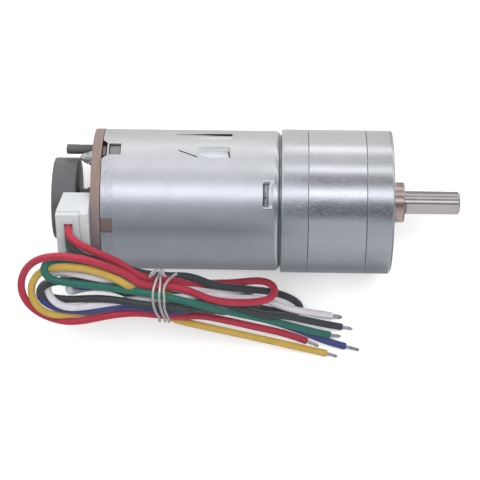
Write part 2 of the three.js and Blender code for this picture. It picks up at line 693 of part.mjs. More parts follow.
// ---------------------------------------------------------------- harness

const WIRE_R = 0.52;
const TIP_R = 0.34;
const TIP_L = 2.7;
const TIP_GAP = 0.12; // from the insulation's end to the bare tip
const TIE_R = 0.24;

// [x, y, z] along each wire, from the plug to the end of its insulation
const WIRE_PATHS = {
  red: [
    [-54.85, -4.53, 12.59], [-54.59, -6.51, 14.79], [-52.29, -8.25, 14.22], [-50.03, -9.35, 12.49],
    [-47.76, -10.38, 10.77], [-45.61, -11.59, 9.08], [-43.77, -13.02, 7.21], [-41.33, -13.74, 5.67],
    [-38.39, -13.80, 4.90], [-36.11, -14.48, 3.08], [-34.44, -14.84, 0.56], [-32.22, -14.72, -1.52],
    [-29.72, -14.64, -3.26], [-27.04, -14.55, -4.71], [-24.14, -14.22, -5.56], [-21.13, -14.35, -5.51],
    [-19.74, -16.16, -3.90], [-21.73, -17.60, -2.29], [-24.55, -17.91, -1.16], [-27.34, -17.90, 0.08],
    [-29.95, -17.61, 1.61], [-32.17, -16.94, 3.59], [-34.54, -15.92, 5.17], [-37.39, -15.06, 5.72],
    [-40.43, -15.06, 5.91], [-43.04, -14.63, 7.27], [-44.81, -13.37, 9.35], [-46.72, -12.27, 11.37],
    [-48.90, -11.38, 13.24], [-51.38, -10.58, 14.78], [-54.27, -10.03, 15.52], [-57.27, -10.00, 15.10],
    [-59.88, -10.59, 13.66], [-61.80, -11.85, 11.64], [-63.05, -13.73, 9.56], [-63.36, -16.10, 7.68],
    [-62.34, -18.44, 6.10], [-60.21, -20.17, 4.83], [-57.48, -21.21, 4.00], [-54.46, -21.42, 3.95],
    [-51.47, -20.91, 4.27], [-48.49, -20.28, 4.30], [-45.47, -19.86, 4.10], [-42.43, -19.85, 3.92],
    [-39.43, -20.20, 3.53], [-36.58, -20.38, 2.47], [-34.18, -20.31, 0.61], [-31.99, -20.49, -1.50],
    [-29.60, -21.00, -3.32], [-27.07, -21.62, -4.91], [-24.52, -22.23, -6.48], [-21.97, -22.83, -8.04],
    [-19.37, -23.44, -9.52], [-16.71, -24.21, -10.79], [-14.02, -25.23, -11.81],
  ],
  black: [
    [-54.85, -6.07, 11.38], [-54.66, -8.03, 13.54], [-52.58, -9.88, 12.81], [-50.30, -10.74, 11.08],
    [-47.98, -11.32, 9.32], [-45.83, -11.88, 7.42], [-43.69, -12.62, 5.59], [-41.07, -13.11, 4.30],
    [-38.22, -13.32, 3.43], [-35.59, -13.31, 2.02], [-33.03, -14.02, 0.65], [-30.63, -14.90, -0.90],
    [-28.04, -15.34, -2.33], [-25.33, -15.58, -3.57], [-22.88, -15.99, -5.23], [-20.38, -16.49, -6.79],
    [-18.09, -17.93, -6.62], [-20.04, -19.02, -5.22], [-22.94, -18.72, -4.54], [-25.76, -18.45, -3.59],
    [-28.47, -18.06, -2.37], [-31.05, -17.65, -0.92], [-33.22, -17.63, 1.12], [-35.05, -18.10, 3.44],
    [-37.74, -18.14, 4.48], [-40.68, -17.82, 4.06], [-43.58, -17.14, 4.10], [-46.09, -16.20, 5.31],
    [-48.09, -15.38, 7.28], [-50.40, -14.69, 8.91], [-53.16, -14.34, 9.89], [-56.08, -14.20, 10.50],
    [-58.98, -14.87, 10.46], [-60.18, -16.34, 8.39], [-58.10, -17.27, 6.69], [-55.12, -17.51, 6.55],
    [-52.16, -17.31, 6.87], [-49.22, -17.28, 7.21], [-46.31, -17.59, 7.24], [-43.43, -18.06, 6.71],
    [-40.51, -18.44, 6.16], [-37.56, -18.82, 5.90], [-34.89, -19.15, 4.67], [-32.98, -18.75, 2.41],
    [-30.80, -18.23, 0.46], [-28.18, -18.38, -0.98], [-25.57, -19.03, -2.28], [-23.11, -19.90, -3.75],
    [-20.74, -20.32, -5.50], [-18.45, -20.47, -7.43], [-16.03, -20.92, -9.13], [-13.39, -21.50, -10.41],
    [-10.58, -22.07, -11.24], [-7.67, -22.57, -11.75],
  ],
  green: [
    [-54.85, -7.60, 10.18], [-54.59, -9.51, 12.20], [-52.55, -10.93, 10.73], [-50.43, -11.73, 8.89],
    [-48.07, -12.23, 7.31], [-45.80, -12.94, 5.75], [-43.59, -13.54, 4.04], [-40.88, -13.92, 3.01],
    [-38.12, -14.11, 2.09], [-35.93, -14.41, 0.20], [-33.97, -14.95, -1.90], [-31.50, -15.50, -3.38],
    [-28.93, -16.04, -4.68], [-26.36, -16.60, -5.97], [-23.69, -17.40, -6.81], [-24.41, -19.11, -6.26],
    [-27.04, -18.72, -5.04], [-29.62, -18.42, -3.69], [-32.02, -17.91, -2.08], [-33.96, -17.02, -0.09],
    [-35.89, -16.16, 1.93], [-38.52, -15.68, 3.05], [-41.41, -15.56, 3.47], [-44.12, -15.36, 4.54],
    [-46.34, -14.56, 6.17], [-48.13, -13.42, 8.07], [-49.91, -12.38, 10.11], [-52.18, -11.77, 11.82],
    [-54.87, -11.03, 12.62], [-57.70, -10.55, 12.76], [-59.20, -12.67, 12.73], [-56.94, -14.20, 12.05],
    [-54.09, -14.58, 11.52], [-51.32, -14.90, 10.70], [-48.70, -15.35, 9.63], [-46.22, -16.12, 8.47],
    [-43.68, -16.66, 7.23], [-40.88, -16.44, 6.47], [-37.96, -16.21, 6.49], [-35.24, -16.97, 5.90],
    [-33.04, -18.05, 4.31], [-31.10, -18.93, 2.31], [-29.38, -19.58, 0.02], [-27.41, -19.85, -2.12],
    [-25.13, -20.07, -3.95], [-22.79, -20.57, -5.62], [-20.39, -21.28, -7.16], [-17.90, -22.02, -8.51],
    [-15.31, -22.78, -9.65], [-12.60, -23.46, -10.53], [-9.81, -24.01, -11.25],
  ],
  blue: [
    [-54.85, -9.13, 8.98], [-54.62, -11.07, 11.03], [-52.55, -12.49, 9.64], [-50.36, -13.11, 7.81],
    [-48.09, -13.31, 6.03], [-45.92, -13.74, 4.20], [-43.56, -14.37, 2.64], [-40.76, -14.96, 1.97],
    [-37.91, -15.47, 1.46], [-35.51, -15.94, -0.14], [-33.51, -16.49, -2.24], [-31.31, -16.87, -4.17],
    [-28.93, -17.09, -5.89], [-27.05, -18.71, -6.78], [-29.13, -19.81, -5.58], [-31.71, -19.06, -4.39],
    [-33.81, -18.32, -2.48], [-35.39, -17.64, -0.08], [-37.39, -17.12, 1.99], [-40.14, -16.97, 2.92],
    [-43.04, -16.49, 2.89], [-45.59, -15.45, 3.84], [-47.82, -14.78, 5.52], [-50.14, -14.95, 7.20],
    [-52.80, -15.33, 8.12], [-55.54, -14.57, 7.46], [-58.44, -14.28, 7.43], [-60.59, -16.03, 6.72],
    [-59.38, -18.34, 5.88], [-56.58, -19.19, 5.73], [-53.69, -19.51, 5.40], [-50.78, -19.27, 5.12],
    [-47.89, -18.83, 4.93], [-44.95, -18.59, 4.82], [-42.01, -18.79, 4.82], [-39.13, -19.36, 4.58],
    [-36.39, -19.46, 3.57], [-34.20, -19.10, 1.64], [-32.22, -18.93, -0.53], [-29.92, -19.27, -2.33],
    [-27.52, -19.82, -3.95], [-25.15, -20.38, -5.63], [-22.78, -20.89, -7.30], [-20.33, -21.55, -8.80],
    [-17.80, -22.35, -10.11], [-15.21, -23.28, -11.15], [-12.54, -24.38, -11.72],
    [-9.76, -25.37, -11.81], [-6.91, -26.11, -11.80],
  ],
  yellow: [
    [-54.85, -10.67, 7.77], [-54.57, -12.60, 9.75], [-52.95, -13.89, 7.76], [-51.17, -15.37, 6.12],
    [-48.91, -14.94, 4.38], [-46.47, -14.83, 2.86], [-43.84, -15.51, 1.79], [-41.00, -16.30, 1.63],
    [-38.22, -16.73, 0.92], [-36.09, -16.91, -1.11], [-34.17, -17.23, -3.33], [-31.90, -17.69, -5.16],
    [-30.37, -19.37, -6.51], [-32.49, -20.26, -5.29], [-34.27, -19.66, -3.02], [-35.39, -19.17, -0.33],
    [-36.13, -18.15, 2.32], [-38.02, -16.74, 3.98], [-40.81, -16.10, 4.67], [-43.41, -15.65, 5.94],
    [-45.03, -14.91, 8.25], [-46.71, -13.86, 10.36], [-48.95, -12.86, 11.88], [-51.46, -12.09, 13.17],
    [-54.29, -11.78, 13.87], [-57.02, -11.87, 12.88], [-59.25, -12.43, 11.04], [-61.11, -14.10, 9.43],
    [-61.65, -16.60, 8.01], [-60.57, -18.98, 6.76], [-58.27, -20.25, 5.53], [-55.53, -20.19, 4.47],
    [-52.71, -19.86, 3.65], [-49.81, -19.82, 3.12], [-46.87, -19.72, 2.81], [-43.93, -19.48, 2.62],
    [-40.98, -19.28, 2.59], [-38.14, -19.47, 1.95], [-35.91, -20.49, 0.32], [-33.77, -21.84, -1.19],
    [-31.38, -22.79, -2.65], [-28.90, -23.45, -4.13], [-26.40, -24.03, -5.59], [-23.87, -24.56, -7.02],
    [-21.30, -25.05, -8.41], [-18.70, -25.58, -9.71], [-16.01, -26.18, -10.78],
    [-13.21, -26.82, -11.46], [-10.34, -27.44, -11.80],
  ],
  white: [
    [-54.85, -12.20, 6.57], [-54.97, -14.20, 8.82], [-55.03, -16.20, 7.36], [-53.50, -15.72, 4.84],
    [-51.11, -15.51, 3.08], [-48.41, -15.76, 1.87], [-45.55, -16.49, 1.35], [-42.69, -17.44, 1.62],
    [-39.73, -17.99, 1.87], [-37.19, -18.20, 0.37], [-35.65, -18.37, -2.24], [-33.96, -18.49, -4.75],
    [-31.83, -18.43, -6.90], [-29.16, -18.30, -8.31], [-26.23, -17.88, -8.89], [-23.99, -16.37, -7.95],
    [-25.01, -15.74, -5.46], [-27.53, -16.21, -3.84], [-30.16, -16.37, -2.33], [-32.40, -16.08, -0.33],
    [-34.21, -15.76, 2.08], [-36.52, -15.66, 3.99], [-39.41, -14.90, 4.37], [-42.37, -14.46, 4.73],
    [-44.79, -14.14, 6.43], [-46.83, -14.02, 8.59], [-49.24, -13.81, 10.28], [-52.00, -13.23, 11.30],
    [-54.96, -12.72, 11.53], [-57.69, -12.95, 10.39], [-58.90, -15.10, 8.86], [-57.89, -17.72, 7.98],
    [-55.35, -18.85, 6.99], [-52.40, -18.65, 6.41], [-49.45, -18.18, 6.12], [-46.49, -17.68, 5.87],
    [-43.51, -17.37, 5.49], [-40.48, -17.28, 5.38], [-37.48, -17.02, 5.28], [-34.76, -16.83, 3.98],
    [-32.47, -16.67, 1.99], [-30.05, -16.75, 0.18], [-27.48, -17.07, -1.41], [-24.93, -17.30, -3.04],
    [-22.47, -17.38, -4.81], [-20.12, -18.19, -6.54], [-17.69, -19.13, -8.07], [-15.04, -19.69, -9.46],
    [-12.32, -20.15, -10.72], [-9.51, -20.59, -11.75],
  ],
};

// [x, y, z] along the twist tie's turns round the wires
const TIE_TURNS = [
  [-40.75, -14.84, 7.10], [-40.68, -16.52, 7.56], [-40.60, -18.30, 7.30], [-40.53, -19.74, 6.13],
  [-40.46, -20.84, 4.45], [-40.38, -20.56, 2.40], [-40.31, -18.97, 1.18], [-40.24, -17.36, 0.66],
  [-40.17, -15.76, 0.66], [-40.09, -14.22, 1.25], [-40.02, -12.89, 2.49], [-39.95, -12.14, 4.41],
  [-39.87, -13.16, 6.21], [-39.80, -14.89, 7.00], [-39.73, -16.52, 7.45], [-39.65, -18.25, 7.19],
  [-39.58, -19.76, 6.15], [-39.51, -20.87, 4.45], [-39.43, -20.69, 2.35], [-39.36, -19.16, 0.98],
  [-39.29, -17.45, 0.29], [-39.22, -15.71, 0.44], [-39.14, -14.12, 1.14], [-39.07, -12.76, 2.45],
  [-39.00, -12.31, 4.39], [-38.92, -13.26, 6.14], [-38.85, -14.89, 7.01], [-38.78, -16.52, 7.48],
  [-38.70, -18.25, 7.20], [-38.63, -19.81, 6.18], [-38.56, -20.86, 4.45], [-38.48, -21.01, 2.23],
  [-38.41, -19.41, 0.69], [-38.34, -17.61, -0.35], [-38.27, -15.59, -0.04], [-38.19, -13.80, 0.78],
  [-38.12, -12.54, 2.36], [-38.05, -12.50, 4.37], [-37.97, -13.50, 5.98], [-37.90, -14.92, 6.94],
];

// the stripped, tinned end: it carries on in the wire's own direction, but level
function wireTip(path) {
  const end = vec(...path.at(-1));
  const direction = end.clone().sub(vec(...path.at(-2))).setZ(0).normalize();
  const tip = new THREE.CylinderGeometry(TIP_R, TIP_R, TIP_L, 8).rotateZ(-Math.PI / 2);
  tip.translate(TIP_L / 2 + TIP_GAP, 0, 0);
  tip.applyQuaternion(new THREE.Quaternion().setFromUnitVectors(X_AXIS, direction));
  return solid(tip.translate(end.x, end.y, end.z));
}

// the turns, with both ends of the tie standing up from them
function twistTie() {
  const shifted = ([x, y, z], dx, dy, dz) => [x + dx, y + dy, z + dz];
  const first = TIE_TURNS[0];
  const last = TIE_TURNS.at(-1);
  return tube([
    shifted(first, 0.25, 1.5, 1.9),
    shifted(first, 0.05, 0.75, 0.8),
    ...TIE_TURNS,
    shifted(last, 0.1, 0.75, 0.8),
    shifted(last, 0.9, 1.3, 1.7),
  ], TIE_R);
}

for (const [name, path] of Object.entries(WIRE_PATHS)) {
  addPiece(harness, `wire_${name}`, tube(path, WIRE_R), WIRE_FINISHES[name]);
  addPiece(harness, `wire_end_${name}`, wireTip(path), FINISHES.solder);
}
addPiece(harness, "twist_tie", twistTie(), FINISHES.steel);

// ---------------------------------------------------------------- assembly

const gearedMotor = new THREE.Group();
gearedMotor.add(gearbox, drive, motor, encoder, harness);
// puts the origin at the centre of the shaft's end face
gearedMotor.position.set(-SHAFT_END, 0, 0);

export default gearedMotor;
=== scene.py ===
import json
from functools import cached_property
from math import atan2, cos, exp, log, pi, radians, sin, sqrt, tan

import bpy
import bmesh
from mathutils import Euler, Matrix, Vector, noise

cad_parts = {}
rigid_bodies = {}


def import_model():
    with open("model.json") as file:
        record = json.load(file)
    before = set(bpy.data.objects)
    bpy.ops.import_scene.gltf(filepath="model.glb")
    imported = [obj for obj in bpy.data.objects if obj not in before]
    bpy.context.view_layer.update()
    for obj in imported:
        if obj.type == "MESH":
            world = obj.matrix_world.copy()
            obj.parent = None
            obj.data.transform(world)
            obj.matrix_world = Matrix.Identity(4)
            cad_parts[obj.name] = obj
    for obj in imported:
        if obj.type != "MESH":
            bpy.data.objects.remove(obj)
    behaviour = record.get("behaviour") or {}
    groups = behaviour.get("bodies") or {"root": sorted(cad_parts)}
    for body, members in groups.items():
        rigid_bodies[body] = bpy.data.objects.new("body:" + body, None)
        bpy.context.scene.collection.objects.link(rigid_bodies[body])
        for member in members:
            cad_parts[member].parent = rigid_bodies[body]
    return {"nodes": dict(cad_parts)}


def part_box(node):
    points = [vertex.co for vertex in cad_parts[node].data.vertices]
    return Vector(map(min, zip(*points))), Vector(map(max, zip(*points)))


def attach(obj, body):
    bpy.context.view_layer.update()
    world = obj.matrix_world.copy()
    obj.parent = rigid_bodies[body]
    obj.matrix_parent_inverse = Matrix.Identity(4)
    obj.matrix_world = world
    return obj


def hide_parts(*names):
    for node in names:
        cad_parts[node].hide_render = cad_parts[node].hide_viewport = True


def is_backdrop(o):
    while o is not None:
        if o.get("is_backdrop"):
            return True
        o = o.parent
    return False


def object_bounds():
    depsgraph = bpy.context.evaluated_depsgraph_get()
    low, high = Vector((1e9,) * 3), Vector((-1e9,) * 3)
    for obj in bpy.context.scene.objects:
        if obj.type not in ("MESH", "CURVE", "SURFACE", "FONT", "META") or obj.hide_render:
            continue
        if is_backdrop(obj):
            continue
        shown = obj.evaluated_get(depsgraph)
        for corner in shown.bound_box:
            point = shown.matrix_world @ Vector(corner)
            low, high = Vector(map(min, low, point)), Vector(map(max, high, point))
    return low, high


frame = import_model()


def plain(value):
    """Nested lists of floats"""
    # a number can't be iterated: the TypeError ends the descent
    try:
        return [plain(part) for part in value]
    except TypeError:
        return float(value)


CAD_BOX = plain(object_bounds())
MM = 0.001

# ---------------------------------------------------------------- sizes shared between sections

SHAFT_END = 12.05
SHAFT_R = 2.0
GEARBOX_R = 12.5
GEARBOX_BORE = 11.3
GEARBOX_BACK = -19.15
COVER_BACK = -4.62
RING_BACK = COVER_BACK - 9.9
SEAM = 0.05
SCREW_HOLE_R = 0.88
CAN_R = 12.2
CAN_BORE = 11.2
CAN_FRONT = -19.3
CAN_REAR = -49.75
CAN_ROLL = 0.95  # radius of the can's rounded front edge
BOARD_R = 12.25
TERMINAL_Y, TERMINAL_Z = 8.6, 1.6
CONNECTOR_ANGLE = 38.1  # degrees about X
WIRE_X = -54.85
WIRE_R = 0.645
WIRE_PITCH = 1.95
FIRST_WIRE_SIDE = 4.2
FLOOR_Z = -12.55

# sRGB, in the order the wires leave the connector
WIRE_COLOURS = {
    "red": (176, 50, 70), "black": (58, 62, 64), "green": (44, 104, 92),
    "blue": (64, 70, 124), "yellow": (196, 164, 78), "white": (214, 210, 216),
}

# each wire's centre line from the connector to its stripped end: x y z, x y z, ...
WIRE_PATHS = {
    "red": """
-54.85 -4.53 12.59, -54.85 -5.43 13.72, -54.63 -6.43 14.74,
-53.61 -7.43 14.83, -52.47 -8.14 14.32, -51.38 -8.71 13.56,
-50.32 -9.21 12.72, -49.24 -9.71 11.89, -48.16 -10.21 11.07,
-47.08 -10.72 10.26, -46.04 -11.32 9.44, -45.08 -12.01 8.62,
-44.15 -12.74 7.79, -43.11 -13.36 6.99, -41.90 -13.67 6.28,
-40.62 -13.73 5.62, -39.33 -13.75 4.97, -38.07 -13.89 4.27,
-36.92 -14.18 3.45, -35.97 -14.53 2.42, -35.08 -14.77 1.32,
-34.09 -14.83 0.26, -33.02 -14.77 -0.70, -31.85 -14.69 -1.55,
-30.63 -14.65 -2.33, -29.38 -14.64 -3.04, -28.07 -14.61 -3.66,
-26.71 -14.51 -4.14, -25.31 -14.36 -4.46, -23.88 -14.21 -4.62,
-22.43 -14.18 -4.60, -21.04 -14.45 -4.41, -19.97 -15.26 -4.03,
-19.93 -16.48 -3.46, -20.91 -17.31 -2.83, -22.17 -17.68 -2.23,
-23.47 -17.84 -1.62, -24.78 -17.91 -0.99, -26.07 -17.93 -0.35,
-27.35 -17.89 0.32, -28.62 -17.79 1.01, -29.85 -17.62 1.74,
-31.04 -17.34 2.51, -32.19 -16.92 3.29, -33.35 -16.41 3.99,
-34.58 -15.90 4.55, -35.86 -15.44 5.03, -37.21 -15.12 5.45,
-38.59 -15.00 5.85, -39.98 -15.04 6.25, -41.36 -15.03 6.68,
-42.60 -14.77 7.33, -43.62 -14.23 8.18, -44.52 -13.57 9.10,
-45.44 -12.96 10.04, -46.40 -12.43 10.98, -47.42 -11.97 11.90,
-48.47 -11.54 12.79, -49.56 -11.15 13.66, -50.73 -10.77 14.42,
-52.00 -10.43 15.00, -53.37 -10.17 15.37, -54.79 -10.00 15.49,
-56.22 -9.96 15.35, -57.60 -10.06 14.94, -58.88 -10.29 14.32,
-60.01 -10.68 13.52, -60.99 -11.21 12.60, -61.81 -11.89 11.62,
-62.48 -12.69 10.63, -62.99 -13.64 9.66, -63.32 -14.69 8.74,
-63.37 -15.84 7.87, -63.12 -17.01 7.05, -62.56 -18.12 6.31,
-61.72 -19.09 5.64, -60.67 -19.89 5.05, -59.48 -20.52 4.54,
-58.18 -21.02 4.14, -56.79 -21.34 3.92, -55.35 -21.45 3.89,
-53.91 -21.35 4.01, -52.50 -21.13 4.17, -51.09 -20.83 4.28,
-49.68 -20.51 4.29, -48.26 -20.24 4.22, -46.83 -20.02 4.13,
-45.40 -19.86 4.01, -43.96 -19.80 3.85, -42.53 -19.86 3.65,
-41.12 -20.00 3.39, -39.72 -20.16 3.04, -38.35 -20.30 2.61,
-37.01 -20.36 2.06, -35.73 -20.36 1.39, -34.52 -20.33 0.60,
-33.37 -20.34 -0.28, -32.25 -20.46 -1.18, -31.11 -20.66 -2.05,
-29.96 -20.92 -2.89, -28.80 -21.20 -3.70, -27.62 -21.48 -4.48,
-26.42 -21.77 -5.25, -25.22 -22.06 -6.00, -24.01 -22.35 -6.74,
-22.79 -22.64 -7.46, -21.56 -22.92 -8.16, -20.32 -23.22 -8.84,
-19.06 -23.53 -9.48, -17.79 -23.88 -10.09, -16.53 -24.28 -10.67,
-15.27 -24.74 -11.22, -14.02 -25.23 -11.75""",
    "black": """
-54.85 -6.07 11.38, -54.85 -6.96 12.53, -54.67 -8.00 13.53,
-53.73 -9.10 13.48, -52.65 -9.84 12.85, -51.56 -10.33 12.03,
-50.44 -10.70 11.18, -49.31 -11.00 10.32, -48.18 -11.27 9.45,
-47.06 -11.54 8.56, -45.96 -11.84 7.66, -44.86 -12.21 6.78,
-43.72 -12.61 5.97, -42.51 -12.92 5.23, -41.23 -13.09 4.56,
-39.93 -13.20 3.91, -38.64 -13.30 3.26, -37.35 -13.33 2.58,
-36.03 -13.30 1.98, -34.71 -13.48 1.42, -33.43 -13.87 0.85,
-32.22 -14.35 0.21, -31.04 -14.77 -0.53, -29.83 -15.09 -1.26,
-28.57 -15.28 -1.96, -27.28 -15.41 -2.62, -25.99 -15.51 -3.28,
-24.77 -15.66 -4.06, -23.62 -15.85 -4.93, -22.54 -15.94 -5.89,
-21.42 -16.06 -6.79, -20.21 -16.31 -7.54, -18.98 -16.63 -8.25,
-17.75 -17.06 -8.90, -16.56 -17.65 -9.47, -15.44 -18.46 -9.91,
-15.18 -19.68 -10.16, -16.52 -20.10 -9.97, -17.93 -20.05 -9.60,
-19.27 -19.82 -9.10, -20.56 -19.55 -8.50, -21.80 -19.27 -7.78,
-22.96 -19.04 -6.94, -23.50 -18.93 -5.60, -24.12 -18.78 -4.32,
-25.37 -18.50 -3.65, -26.71 -18.33 -3.11, -28.02 -18.13 -2.52,
-29.27 -17.92 -1.81, -30.48 -17.73 -1.02, -31.66 -17.59 -0.18,
-32.79 -17.58 0.72, -33.87 -17.77 1.68, -34.98 -18.06 2.57,
-36.25 -18.20 3.23, -37.65 -18.15 3.60, -39.08 -18.00 3.83,
-40.52 -17.83 3.97, -41.94 -17.60 4.16, -43.32 -17.22 4.41,
-44.64 -16.75 4.78, -45.84 -16.30 5.46, -46.94 -15.86 6.30,
-48.00 -15.42 7.18, -49.10 -15.04 8.05, -50.29 -14.73 8.83,
-51.61 -14.50 9.38, -52.98 -14.36 9.83, -54.39 -14.26 10.18,
-55.82 -14.23 10.45, -57.25 -14.36 10.60, -58.62 -14.75 10.49,
-59.70 -15.37 9.86, -60.12 -16.11 8.77, -59.65 -16.75 7.63,
-58.52 -17.16 6.87, -57.13 -17.38 6.56, -55.68 -17.49 6.52,
-54.23 -17.47 6.62, -52.79 -17.36 6.79, -51.35 -17.27 6.97,
-49.91 -17.26 7.11, -48.46 -17.34 7.13, -47.01 -17.49 7.16,
-45.57 -17.71 7.14, -44.15 -17.94 6.99, -42.75 -18.16 6.67,
-41.35 -18.35 6.32, -39.95 -18.50 5.96, -38.56 -18.67 5.56,
-37.21 -18.88 5.09, -35.88 -19.08 4.53, -34.62 -19.13 3.80,
-33.50 -18.92 2.90, -32.43 -18.58 1.98, -31.27 -18.31 1.15,
-30.04 -18.22 0.41, -28.86 -18.30 -0.40, -27.73 -18.47 -1.25,
-26.45 -18.77 -1.87, -25.21 -19.15 -2.52, -24.02 -19.57 -3.24,
-22.88 -19.96 -4.06, -21.72 -20.24 -4.88, -20.54 -20.32 -5.73,
-19.37 -20.38 -6.58, -18.18 -20.51 -7.41, -16.98 -20.73 -8.19,
-15.73 -20.99 -8.90, -14.46 -21.27 -9.54, -13.14 -21.55 -10.09,
-11.80 -21.83 -10.57, -10.44 -22.10 -11.00, -9.06 -22.34 -11.39,
-7.67 -22.57 -11.75""",
    "green": """
-54.85 -7.60 10.18, -54.85 -8.49 11.31, -54.56 -9.54 12.16,
-53.50 -10.33 11.59, -52.52 -10.93 10.72, -51.52 -11.40 9.80,
-50.44 -11.73 8.90, -49.27 -11.96 8.09, -48.08 -12.23 7.32,
-46.91 -12.58 6.55, -45.75 -12.95 5.78, -44.58 -13.30 5.00,
-43.37 -13.57 4.28, -42.10 -13.77 3.61, -40.81 -13.92 2.98,
-39.52 -14.01 2.34, -38.26 -14.10 1.66, -37.04 -14.23 0.90,
-35.91 -14.42 0.02, -34.84 -14.71 -0.90, -33.72 -15.01 -1.76,
-32.53 -15.29 -2.53, -31.30 -15.54 -3.23, -30.04 -15.80 -3.88,
-28.76 -16.08 -4.50, -27.51 -16.35 -5.16, -26.25 -16.62 -5.81,
-24.91 -16.96 -6.21, -23.69 -17.54 -6.64, -23.49 -18.57 -6.49,
-24.28 -19.02 -5.62, -25.53 -18.94 -4.98, -26.88 -18.74 -4.53,
-28.22 -18.58 -4.01, -29.51 -18.43 -3.38, -30.74 -18.23 -2.66,
-31.92 -17.93 -1.88, -33.00 -17.51 -1.03, -34.01 -16.99 -0.14,
-35.04 -16.48 0.74, -36.19 -16.08 1.51, -37.46 -15.81 2.14,
-38.79 -15.67 2.66, -40.14 -15.59 3.16, -41.48 -15.56 3.70,
-42.81 -15.51 4.27, -44.09 -15.36 4.92, -45.30 -15.02 5.61,
-46.41 -14.51 6.38, -47.41 -13.92 7.24, -48.29 -13.31 8.21,
-49.15 -12.77 9.23, -50.08 -12.32 10.24, -51.15 -11.99 11.14,
-52.36 -11.74 11.88, -53.67 -11.43 12.39, -55.01 -10.98 12.63,
-56.39 -10.58 12.70, -57.79 -10.65 12.77, -58.88 -11.46 12.82,
-59.02 -12.76 12.67, -58.10 -13.74 12.31, -56.78 -14.21 12.03,
-55.38 -14.44 11.78, -53.97 -14.60 11.48, -52.59 -14.74 11.10,
-51.23 -14.87 10.65, -49.88 -15.03 10.15, -48.52 -15.22 9.74,
-47.10 -15.42 9.51, -45.75 -15.61 9.12, -44.68 -15.77 8.21,
-43.53 -15.97 7.43, -42.12 -16.21 7.26, -40.75 -16.44 6.87,
-39.38 -16.69 6.48, -38.03 -16.98 6.07, -36.70 -17.28 5.60,
-35.38 -17.61 5.12, -34.07 -17.95 4.63, -32.86 -18.28 3.93,
-31.73 -18.60 3.09, -30.68 -18.90 2.14, -29.70 -19.18 1.12,
-28.98 -19.36 -0.11, -28.30 -19.53 -1.37, -27.27 -19.78 -2.32,
-26.09 -20.06 -3.11, -24.95 -20.33 -3.95, -23.81 -20.60 -4.79,
-22.64 -20.87 -5.59, -21.44 -21.15 -6.35, -20.22 -21.43 -7.06,
-18.99 -21.77 -7.73, -17.74 -22.11 -8.36, -16.46 -22.45 -8.93,
-15.16 -22.80 -9.45, -13.83 -23.14 -9.91, -12.50 -23.47 -10.34,
-11.15 -23.76 -10.78, -9.81 -24.01 -11.25""",
    "blue": """
-54.85 -9.13 8.98, -54.85 -10.04 10.12, -54.60 -11.08 11.01,
-53.56 -11.95 10.53, -52.54 -12.49 9.63, -51.49 -12.87 8.71,
-50.36 -13.10 7.82, -49.21 -13.22 6.95, -48.05 -13.32 6.07,
-46.90 -13.51 5.21, -45.74 -13.79 4.38, -44.53 -14.12 3.65,
-43.26 -14.43 3.02, -41.95 -14.72 2.46, -40.62 -14.99 1.94,
-39.28 -15.23 1.42, -37.96 -15.46 0.85, -36.69 -15.68 0.20,
-35.49 -15.95 -0.59, -34.38 -16.25 -1.47, -33.27 -16.54 -2.36,
-32.11 -16.77 -3.21, -30.93 -16.91 -4.04, -29.75 -17.00 -4.88,
-28.49 -17.18 -5.58, -27.29 -17.93 -5.72, -27.31 -19.32 -5.58,
-28.49 -19.85 -4.96, -29.74 -19.68 -4.24, -31.04 -19.29 -3.72,
-32.30 -18.87 -3.15, -33.45 -18.45 -2.36, -34.45 -18.04 -1.40,
-35.41 -17.64 -0.38, -36.46 -17.29 0.56, -37.68 -17.09 1.33,
-38.99 -17.02 1.94, -40.36 -16.95 2.43, -41.73 -16.80 2.88,
-43.08 -16.47 3.29, -44.38 -15.97 3.73, -45.60 -15.44 4.31,
-46.79 -15.00 5.02, -48.00 -14.77 5.79, -49.21 -14.80 6.58,
-50.42 -15.02 7.36, -51.69 -15.26 7.97, -53.12 -15.26 8.04,
-54.49 -14.92 7.71, -55.85 -14.50 7.46, -57.27 -14.25 7.42,
-58.69 -14.40 7.38, -59.91 -15.08 7.13, -60.52 -16.23 6.64,
-60.20 -17.49 6.15, -59.15 -18.41 5.87, -57.81 -18.92 5.77,
-56.39 -19.22 5.70, -54.96 -19.42 5.56, -53.52 -19.49 5.38,
-52.08 -19.42 5.23, -50.64 -19.25 5.11, -49.20 -19.03 5.03,
-47.77 -18.82 4.97, -46.32 -18.66 4.90, -44.88 -18.60 4.84,
-43.43 -18.65 4.76, -41.99 -18.81 4.66, -40.58 -19.07 4.40,
-39.21 -19.33 4.00, -37.85 -19.49 3.51, -36.54 -19.46 2.90,
-35.30 -19.30 2.16, -34.16 -19.09 1.29, -33.07 -18.95 0.34,
-31.96 -18.96 -0.60, -30.82 -19.11 -1.48, -29.65 -19.33 -2.32,
-28.46 -19.60 -3.11, -27.26 -19.88 -3.88, -26.10 -20.16 -4.71,
-24.97 -20.42 -5.59, -23.81 -20.66 -6.42, -22.62 -20.94 -7.22,
-21.42 -21.25 -7.96, -20.18 -21.60 -8.65, -18.93 -21.98 -9.28,
-17.66 -22.40 -9.85, -16.37 -22.84 -10.35, -15.07 -23.33 -10.78,
-13.77 -23.86 -11.14, -12.45 -24.41 -11.39, -11.10 -24.93 -11.55,
-9.72 -25.37 -11.63, -8.32 -25.76 -11.70, -6.91 -26.11 -11.75""",
